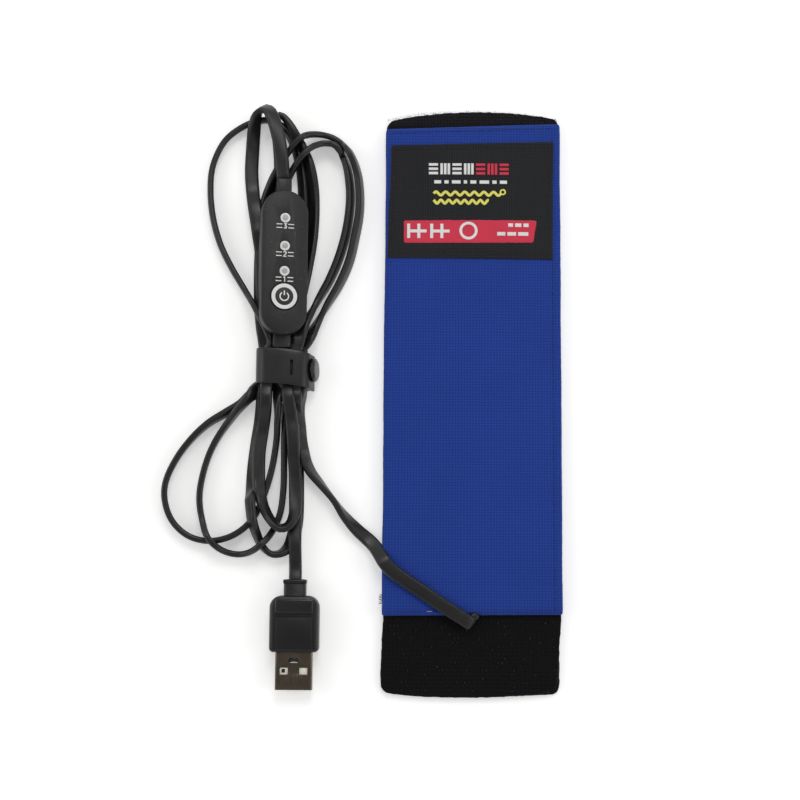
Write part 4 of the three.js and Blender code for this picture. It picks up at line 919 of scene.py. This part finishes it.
# Plug face: a raised pillow, then a flat panel, a lip on the sleeve and what the shell's openings show.
plugLook = {
    "plug_pillow": ("snap", (-0.0579, -0.0689, 0.0077), (0.0124, 0.0046, 0.0018)),
    "plug_panel": ("plug", (-0.0579, -0.0777, 0.00792), (0.0118, 0.0104, 0.0005)),
    "plug_lip": ("plug", (-0.0579, -0.0611, 0.0040), (0.0076, 0.0014, 0.0055)),
    "window_inside_left": ("cream", (-0.06105, -0.0898, 0.00570), (0.0027, 0.0024, 0.0003)),
    "window_inside_right": ("cream", (-0.05475, -0.0898, 0.00570), (0.0027, 0.0024, 0.0003)),
    "window_pit": ("relief", (-0.0612, -0.0896, 0.00583), (0.0012, 0.0012, 0.0002)),
    "latch_inside": ("relief", (-0.0579, -0.0866, 0.00570), (0.0034, 0.0016, 0.0003)),
}
for name, (finish, place, size) in plugLook.items():
    stripPieces.append(roundedBlock(name, finish, place, size, 0.3 * min(size)))
latchLook = {"place": (-0.0579, -0.0870, 0.00600), "size": (0.0014, 0.0003, 0.0002)}
deselectAll()
bpy.ops.mesh.primitive_uv_sphere_add(segments=48, ring_count=24, radius=1, location=latchLook["place"])
resizeAll(latchLook["size"], latchLook["place"])
stripPieces.append(settlePiece("latch_edge", "tin"))

# Snap strap round the hank's waist: a band, thickened, whose right end was pulled down.
strapLook = {
    "width": 0.0117, "centreY": 0.00945, "thickness": 0.0012, "skewTop": 0.0021, "skewUnder": 0.0022,
    "left": -0.0716, "right": -0.0524, "height": 0.0098, "curl": 0.00016, "curlAbove": 0.004,
    "path": ((-0.0556, 0.0062), (-0.0552, 0.0042), (-0.0547, 0.0020), (-0.0553, 0.0009), (-0.0570, 0.00066),
             (-0.0620, 0.00062), (-0.0680, 0.00062), (-0.0702, 0.0009), (-0.07115, 0.0024), (-0.0713, 0.0050),
             (-0.0709, 0.0073), (-0.0695, 0.00855), (-0.0665, 0.0090), (-0.0630, 0.0092), (-0.0600, 0.0091),
             (-0.0575, 0.00885), (-0.0560, 0.0084), (-0.0549, 0.0075), (-0.0543, 0.0062), (-0.0538, 0.0048),
             (-0.0534, 0.0034), (-0.0531, 0.0024)),
    "step": 0.0004, "slitAt": (-0.0598, 0.0086, 0.0095), "slit": (0.00095, 0.0052, 0.004), "edge": 0.00022,
}


def makeStrap(values):
    path = smoothLine([(x, z, 0.0, 0.0) for x, z in values["path"]], values["step"])
    deselectAll()
    bpy.ops.mesh.primitive_grid_add(x_subdivisions=len(path) - 1, y_subdivisions=14, size=1)
    strap = bpy.context.object
    across = values["right"] - values["left"]
    for vert in strap.data.vertices:
        x, z = path[min(int(round((vert.co.x + 0.5) * (len(path) - 1))), len(path) - 1)][:2]
        share = min(max((x - values["left"]) / across, 0), 1)
        up = min(max(z / values["height"], 0), 1)
        skew = values["skewUnder"] * share * (1 - up) + values["skewTop"] * share ** 2.4 * up
        curl = values["curl"] * (2 * vert.co.y) ** 4 * (1 if z > values["curlAbove"] else 0)
        vert.co = (x, values["centreY"] + vert.co.y * values["width"] - skew, z - curl)
    applyModifier(strap, "SOLIDIFY", thickness=values["thickness"], offset=0.0)
    applyModifier(strap, "BEVEL", width=values["edge"], segments=2, angle_limit=math.radians(60))
    wide, long, deep = values["slit"]
    bpy.ops.mesh.primitive_cylinder_add(vertices=32, radius=wide / 2, depth=deep, location=values["slitAt"])
    cutter = bpy.context.object
    for vert in cutter.data.vertices:
        vert.co.y += math.copysign((long - wide) / 2, vert.co.y)
    selectOnly(strap)
    applyModifier(strap, "BOOLEAN", object=cutter, operation="DIFFERENCE")
    bpy.data.objects.remove(cutter)
    settlePiece("strap", "strap", None, 50)
    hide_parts("strap_band")
    return strap


stripPieces.append(makeStrap(strapLook))

# Print on the label: blocks of bars, dashes, waves, a small ring and a band with bars and a ring.
labelPrintLook = {
    "blocksFrom": -0.01505, "blockPitch": 0.00396, "blockWidth": 0.0031, "blocks": 7, "whiteBlocks": 4,
    "blocksTop": 0.0788, "blocksLow": 0.0750, "blockLine": 0.00085, "blockParts": (0.11, 0.5, 0.89),
    "dashesFrom": -0.0132, "dashRow": 0.0724, "dashLine": 0.0011, "dashGap": 0.0011,
    "dashes": (0.0023, 0.0014, 0.0029, 0.0011, 0.0020, 0.0032, 0.0014, 0.0024),
    "wavesFrom": -0.0134, "waves": ((0.0684, 0.0225), (0.0656, 0.0185)), "waveLine": 0.0009,
    "waveHeight": 0.0006, "waveTurns": 44, "ring": (0.0098, 0.0690), "ringRadius": 0.0008, "ringLine": 0.0005,
    "signs": (-0.0217, -0.0140), "signPitch": 0.0034, "signRows": (0.0531, 0.0555, 0.0580),
    "signWidth": 0.0060, "signLine": 0.0010,
    "bandRing": (-0.0017, 0.0557), "bandRingRadius": 0.0026, "bandRingLine": 0.0009, "bandBarLine": 0.0012,
    "bandBars": (((0.0116, 0.0577), (0.0132, 0.0577)), ((0.0139, 0.0577), (0.0160, 0.0577)),
                 ((0.0167, 0.0577), (0.0184, 0.0577)), ((0.0079, 0.0547), (0.0106, 0.0547)),
                 ((0.0113, 0.0547), (0.0142, 0.0547)), ((0.0149, 0.0547), (0.0183, 0.0547))),
}


def ringStroke(line, middle, radius):
    points = arcPoints(middle, radius, range(0, 360, 15))
    return line, points + points[:1]


def labelStrokes(look):
    white, red, yellow, band = [], [], [], []
    low, high = look["blocksLow"], look["blocksTop"]
    for k in range(look["blocks"]):
        left = look["blocksFrom"] + k * look["blockPitch"]
        strokes = white if k < look["whiteBlocks"] else red
        for part in look["blockParts"]:
            x, y = left + part * look["blockWidth"], low + part * (high - low)
            bar = [(x, low), (x, high)] if k % 2 else [(left, y), (left + look["blockWidth"], y)]
            strokes.append((look["blockLine"], bar))
    at = look["dashesFrom"]
    for length in look["dashes"]:
        white.append((look["dashLine"], [(at, look["dashRow"]), (at + length, look["dashRow"])]))
        at += length + look["dashGap"]
    for number, (y, reach) in enumerate(look["waves"]):
        swing = [(t / 60, math.sin(t / 60 * look["waveTurns"] + 2 * number)) for t in range(61)]
        points = [(look["wavesFrom"] + t * reach, y + look["waveHeight"] * up) for t, up in swing]
        yellow.append((look["waveLine"], points))
    yellow.append(ringStroke(look["ringLine"], look["ring"], look["ringRadius"]))
    bottom, middle, top = look["signRows"]
    for left in look["signs"]:
        for x in (left, left + look["signPitch"]):
            band.append((look["signLine"], [(x, bottom), (x, top)]))
        band.append((look["signLine"], [(left, middle), (left + look["signWidth"], middle)]))
    band.append(ringStroke(look["bandRingLine"], look["bandRing"], look["bandRingRadius"]))
    band += [(look["bandBarLine"], list(bar)) for bar in look["bandBars"]]
    return white, red, yellow, band


bandLook = {
    "corners": ((-0.02342, 0.05150), (0.01990, 0.05185), (0.02098, 0.05936), (-0.02342, 0.05907)),
    "rim": (0.0002, 0.0003), "spacing": 0.0010,
    "lowBow": 0.0001, "highBow": 0.0001, "lowCorner": 0.0005, "highCorner": 0.0005,
    "ragged": 0.00012, "wander": 0.0003, "roundEdge": 0.0002, "drop": 0.1, "bottom": 0.0048, "lift": 0.00009,
}
whiteStrokes, redStrokes, yellowStrokes, bandStrokes = labelStrokes(labelPrintLook)
stripPieces += [
    clothPanel("label_band_print", "label_band", "redPrint", bandLook,
               lambda x, y: labelTop(x, y) + bandLook["lift"]),
    strokePiece("label_print_white", whiteStrokes, labelTop, "whitePrint"),
    strokePiece("label_print_red", redStrokes, labelTop, "redPrint"),
    strokePiece("label_print_yellow", yellowStrokes, labelTop, "yellowPrint"),
    strokePiece("label_print_band", bandStrokes, labelTop, "whitePrint", 0.0002),
]


# Many small closed forms in one mesh, each with a middle and three half axes.
def grains(name, places, finish):
    work = bmesh.new()
    sides = (0, 1.047, 2.094, 3.142, 4.189, 5.236)
    for middle, along, across, high in places:
        rings = []
        for share, size in ((-0.62, 0.78), (0.0, 1.0), (0.62, 0.78)):
            edges = [(across * math.cos(a) + high * math.sin(a)) * size for a in sides]
            rings.append([work.verts.new(middle + along * share + edge) for edge in edges])
        tips = [work.verts.new(middle - along), work.verts.new(middle + along)]
        for j in range(6):
            n = (j + 1) % 6
            for k in (0, 1):
                work.faces.new((rings[k][j], rings[k][n], rings[k + 1][n], rings[k + 1][j]))
            work.faces.new((tips[0], rings[0][n], rings[0][j]))
            work.faces.new((tips[1], rings[2][j], rings[2][n]))
    for face in work.faces:
        face.smooth = True
    stripPieces.append(pieceFromWork(name, work, finish))


# Stitches at an even pitch along a path, each a little askew.
stitchLook = {
    "label_stitches": {
        "finish": "thread", "pitch": 0.0021, "length": 0.0017, "width": 0.00034, "height": 0.0003,
        "paths": (((-0.0273, 0.0480), (0.0248, 0.0477), (0.0254, 0.0850), (-0.0262, 0.0836),
                   (-0.0273, 0.0480)),),
    },
    "cover_stitches": {
        "finish": "blueThread", "pitch": 0.0024, "length": 0.0019, "width": 0.00036, "height": 0.00032,
        "paths": (((0.02655, 0.0888), (0.02650, -0.0700)), ((0.0282, -0.0700), (-0.0284, -0.0707)),
                  ((-0.0284, 0.0894), (0.0266, 0.0914))),
    },
}


def stitches(values, level):
    found = []
    for path in values["paths"]:
        for a, b in zip(path[:-1], path[1:]):
            a, b = Vector(a), Vector(b)
            count = max(1, int((b - a).length / values["pitch"]))
            way = (b - a).normalized()
            for k in range(count):
                at = a.lerp(b, (k + 0.5) / count)
                lean = 0.12 * noise.noise((at.x * 900, at.y * 900, 1.1))
                turned = Vector((way.x - lean * way.y, way.y + lean * way.x, 0))
                middle = Vector((at.x, at.y, level(at.x, at.y) + values["height"] * 0.35))
                found.append((middle, turned * values["length"] / 2,
                              Vector((-turned.y, turned.x, 0)) * values["width"] / 2,
                              Vector((0, 0, values["height"] / 2))))
    return found


for (name, values), level in zip(stitchLook.items(), (labelTop, coverTop)):
    grains(name, stitches(values, level), values["finish"])


# Even, repeatable numbers from 0 to 1.
def scatter(k, number):
    return math.modf(math.sin(k * 12.9898 + number * 78.233) * 43758.5453)[0] % 1.0


hookLook = {
    "rows": 19, "columns": 44, "pitch": 0.00128, "from": (-0.0282, -0.0958), "stray": 0.0002,
    "highest": -0.0726, "low": -0.0964, "corner": 0.0262, "middle": -0.0005, "half": 0.0276, "missing": 0.1,
    "length": 0.00042, "thick": 0.00015, "lift": 0.0002, "paintedGlintShare": 0.10, "paintedGlintLift": 0.0003,
}


def hookPlaces(values):
    found = []
    for row in range(values["rows"]):
        for column in range(values["columns"]):
            k = row * 50 + column
            x = values["from"][0] + column * values["pitch"] + (values["pitch"] / 2 if row % 2 else 0)
            x += values["stray"] * (scatter(k, 1) - 0.5)
            y = values["from"][1] + row * values["pitch"] + values["stray"] * (scatter(k, 2) - 0.5)
            outside = y > values["highest"] or abs(x - values["middle"]) > values["half"]
            outside = outside or y < values["low"] + 30 * max(abs(x) - values["corner"], 0)
            if outside or scatter(k, 3) < values["missing"]:
                continue
            lean = Vector((scatter(k, 4) - 0.5, scatter(k, 5) - 0.5, 0.9)).normalized()
            side = lean.cross(Vector((1, 0, 0))).normalized()
            found.append((Vector((x, y, tabTop(x, y) + values["lift"])), lean * values["length"],
                          side * values["thick"], lean.cross(side) * values["thick"]))
    return found


hooks = hookPlaces(hookLook)
# Paler copies of some hooks, lifted just above them: painted glints that stand for the hooks' sparkle.
glints = [(at + Vector((0, 0, hookLook["paintedGlintLift"])), *axes)
          for k, (at, *axes) in enumerate(hooks) if scatter(k, 12) < hookLook["paintedGlintShare"]]
grains("hook_tips", hooks, "hookTips")
grains("hook_glints", glints, "hookGlint")


# Fine bent hairs in one mesh, each with a root, a way and a droop.
def hairs(name, roots, finish, width):
    work = bmesh.new()
    for root, way, droop in roots:
        side = Vector((-way.y, way.x, 0)).normalized() * width / 2
        up = Vector((0, 0, width / 2))
        rings = []
        for share, size in ((0.0, 1.0), (0.5, 0.8)):
            at = root + way * share + Vector((0, 0, -droop * share * share))
            rings.append([work.verts.new(at + edge * size) for edge in (side, -side, up)])
        tip = work.verts.new(root + way + Vector((0, 0, -droop)))
        for j in range(3):
            n = (j + 1) % 3
            work.faces.new((rings[0][j], rings[0][n], rings[1][n], rings[1][j]))
            work.faces.new((rings[1][j], rings[1][n], tip))
        work.faces.new(rings[0])
    stripPieces.append(pieceFromWork(name, work, finish))


fringeLook = {
    "left": -0.0288, "width": 0.00009,
    "lipHairs": 900, "lipWidth": 0.0574, "lipFrom": 0.0915, "lipEdge": 0.0950, "lipBow": 0.0028,
    "tabHairs": 420, "tabWidth": 0.0562, "tabEdge": -0.0962, "tabBow": 0.0016, "tabCorner": 0.0265,
}


def fringeHairs(values):
    found = []
    for k in range(values["lipHairs"]):
        u = scatter(k, 1)
        x = values["left"] + values["lipWidth"] * u
        edge = values["lipEdge"] + values["lipBow"] * (1 - (2 * u - 1) ** 2)
        y = values["lipFrom"] + (edge - values["lipFrom"]) * scatter(k, 2) ** 0.6
        angle = math.pi * (0.5 + 0.9 * (scatter(k, 3) - 0.5))
        way = Vector((math.cos(angle), math.sin(angle), 0.5 * scatter(k, 5)))
        root = Vector((x, y, pileTop(x, y) - 0.00005))
        found.append((root, way * (0.0004 + 0.0008 * scatter(k, 4)), 0.0003 * scatter(k, 6)))
    for k in range(values["tabHairs"]):
        u = scatter(k, 7)
        x = values["left"] + values["tabWidth"] * u
        y = values["tabEdge"] - values["tabBow"] * (1 - (2 * u - 1) ** 2) + 0.0004 * scatter(k, 8)
        y += 15 * max(abs(x) - values["tabCorner"], 0)
        angle = math.pi * (1.5 + 0.8 * (scatter(k, 9) - 0.5))
        way = Vector((math.cos(angle), math.sin(angle), 0.1)) * (0.0003 + 0.0005 * scatter(k, 10))
        found.append((Vector((x, y, 0.0012 + 0.0008 * scatter(k, 11))), way, 0.0003))
    return found


# Loose ends at the left hem, and a pale thread by the low seam.
threadLook = {
    "ends": 7, "from": (-0.0297, -0.0650, 0.0030), "pitch": 0.0005, "width": 0.00028,
    "fleck": (-0.0150, -0.0705), "fleckOver": -0.0145, "fleckWay": (0.0019, 0.0002, 0.0001),
    "fleckWidth": 0.00035,
}
threadEnds = []
for k in range(threadLook["ends"]):
    x, y, z = threadLook["from"]
    way = Vector((-0.0009 - 0.0005 * scatter(k, 1), 0.0008 * (scatter(k, 2) - 0.5), 0.0002))
    root = Vector((x, y - threadLook["pitch"] * k, z + 0.0002 * (k % 3)))
    threadEnds.append((root, way, 0.0004 * scatter(k, 3)))
x, y = threadLook["fleck"]
root = Vector((x, y, coverTop(threadLook["fleckOver"], y) + 0.0001))
fleck = (root, Vector(threadLook["fleckWay"]), 0.00005)
hairs("pile_fringe", fringeHairs(fringeLook), "pile", fringeLook["width"])
hairs("thread_ends", threadEnds, "thread", threadLook["width"])
hairs("pale_fleck", [fleck], "paleThread", threadLook["fleckWidth"])

# Folded end of the pad's cord at the hem.
foldLook = {
    "place": (-0.0006, -0.0731, 0.00405), "size": (0.0026, 0.0056, 0.0030), "bevel": 0.0007,
    "turn": math.radians(-45),
}
foldTurn = Matrix.Translation(foldLook["place"]) @ Matrix.Rotation(foldLook["turn"], 4, "Z")
cordFold = roundedBlock("cord_fold", "cord", (0, 0, 0), foldLook["size"], foldLook["bevel"], foldTurn)
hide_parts("cord_anchor")
stripPieces.append(cordFold)
print("stage: controller, strap, prints and threads")

stageLook = {
    "floorSize": 6.0, "floorLevel": -0.00005,
    "floorSeen": (0.97, 0.97, 0.96), "floorReal": (0.80, 0.80, 0.79), "floorGlow": 0.34,
    "worldUp": 0.22, "worldAround": 0.85, "worldBend": 1.6, "lampsAimAt": (-0.02, 0, 0),
    "lamps": (
        ("key", (0.02, 0.42, 0.62), 0.34, 1.25),
        ("left", (-0.62, 0.05, 0.42), 0.40, 0.60),
        ("right", (0.55, -0.05, 0.50), 0.36, 0.55),
    ),
}


def makeStage(values):
    deselectAll()
    bpy.ops.mesh.primitive_plane_add(size=values["floorSize"], location=(0, 0, values["floorLevel"]))
    floor = bpy.context.object
    floor.name = "floor"
    made, tree, shader, place = newMaterial("floor", 0.9)
    shader.inputs["Specular IOR Level"].default_value = 0.0
    path = tree.nodes.new("ShaderNodeLightPath")
    seen = math2(tree, "MAXIMUM", path.outputs["Is Camera Ray"], path.outputs["Is Glossy Ray"])
    shade = colorBetween(tree, seen, values["floorReal"], values["floorSeen"])
    tree.links.new(shade, shader.inputs["Base Color"])
    shader.inputs["Emission Color"].default_value = (1, 1, 1, 1)
    tree.links.new(math2(tree, "MULTIPLY", seen, values["floorGlow"]), shader.inputs["Emission Strength"])
    floor.data.materials.append(made)
    bpy.ops.object.transform_apply(location=True, rotation=True, scale=True)
    world = bpy.data.worlds.new("soft room")
    bpy.context.scene.world = world
    world.use_nodes = True
    sky = world.node_tree
    back = next(n for n in sky.nodes if n.type == "BACKGROUND")
    back.inputs["Color"].default_value = (1, 1, 1, 1)
    way = node(sky, "ShaderNodeSeparateXYZ", {0: node(sky, "ShaderNodeTexCoord").outputs["Generated"]})
    height = math2(sky, "POWER", math2(sky, "MAXIMUM", way.outputs["Z"], 0.0), values["worldBend"])
    glow = numberBetween(sky, height, values["worldAround"], values["worldUp"])
    sky.links.new(glow, back.inputs["Strength"])
    for name, place, size, power in values["lamps"]:
        deselectAll()
        bpy.ops.object.light_add(type="AREA", location=place)
        lamp = bpy.context.object
        lamp.name = "lamp_" + name
        lamp.data.shape = "DISK"
        lamp.data.size = size
        lamp.data.energy = power
        aim = Vector(values["lampsAimAt"]) - Vector(place)
        lamp.rotation_euler = aim.to_track_quat("-Z", "Y").to_euler()


makeStage(stageLook)
bpy.context.scene.view_settings.view_transform = "Standard"
print("stage: floor and lamps")

for piece in [padCover, pileLining, hookTab, labelPatch, padCord, plugCord] + stripPieces:
    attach(piece, "strip")
for piece in buttonPieces:
    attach(piece, "button")

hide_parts("cord_pad_lead", "cord_hank", "cord_controller_arch")
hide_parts("cord_plug_lead")
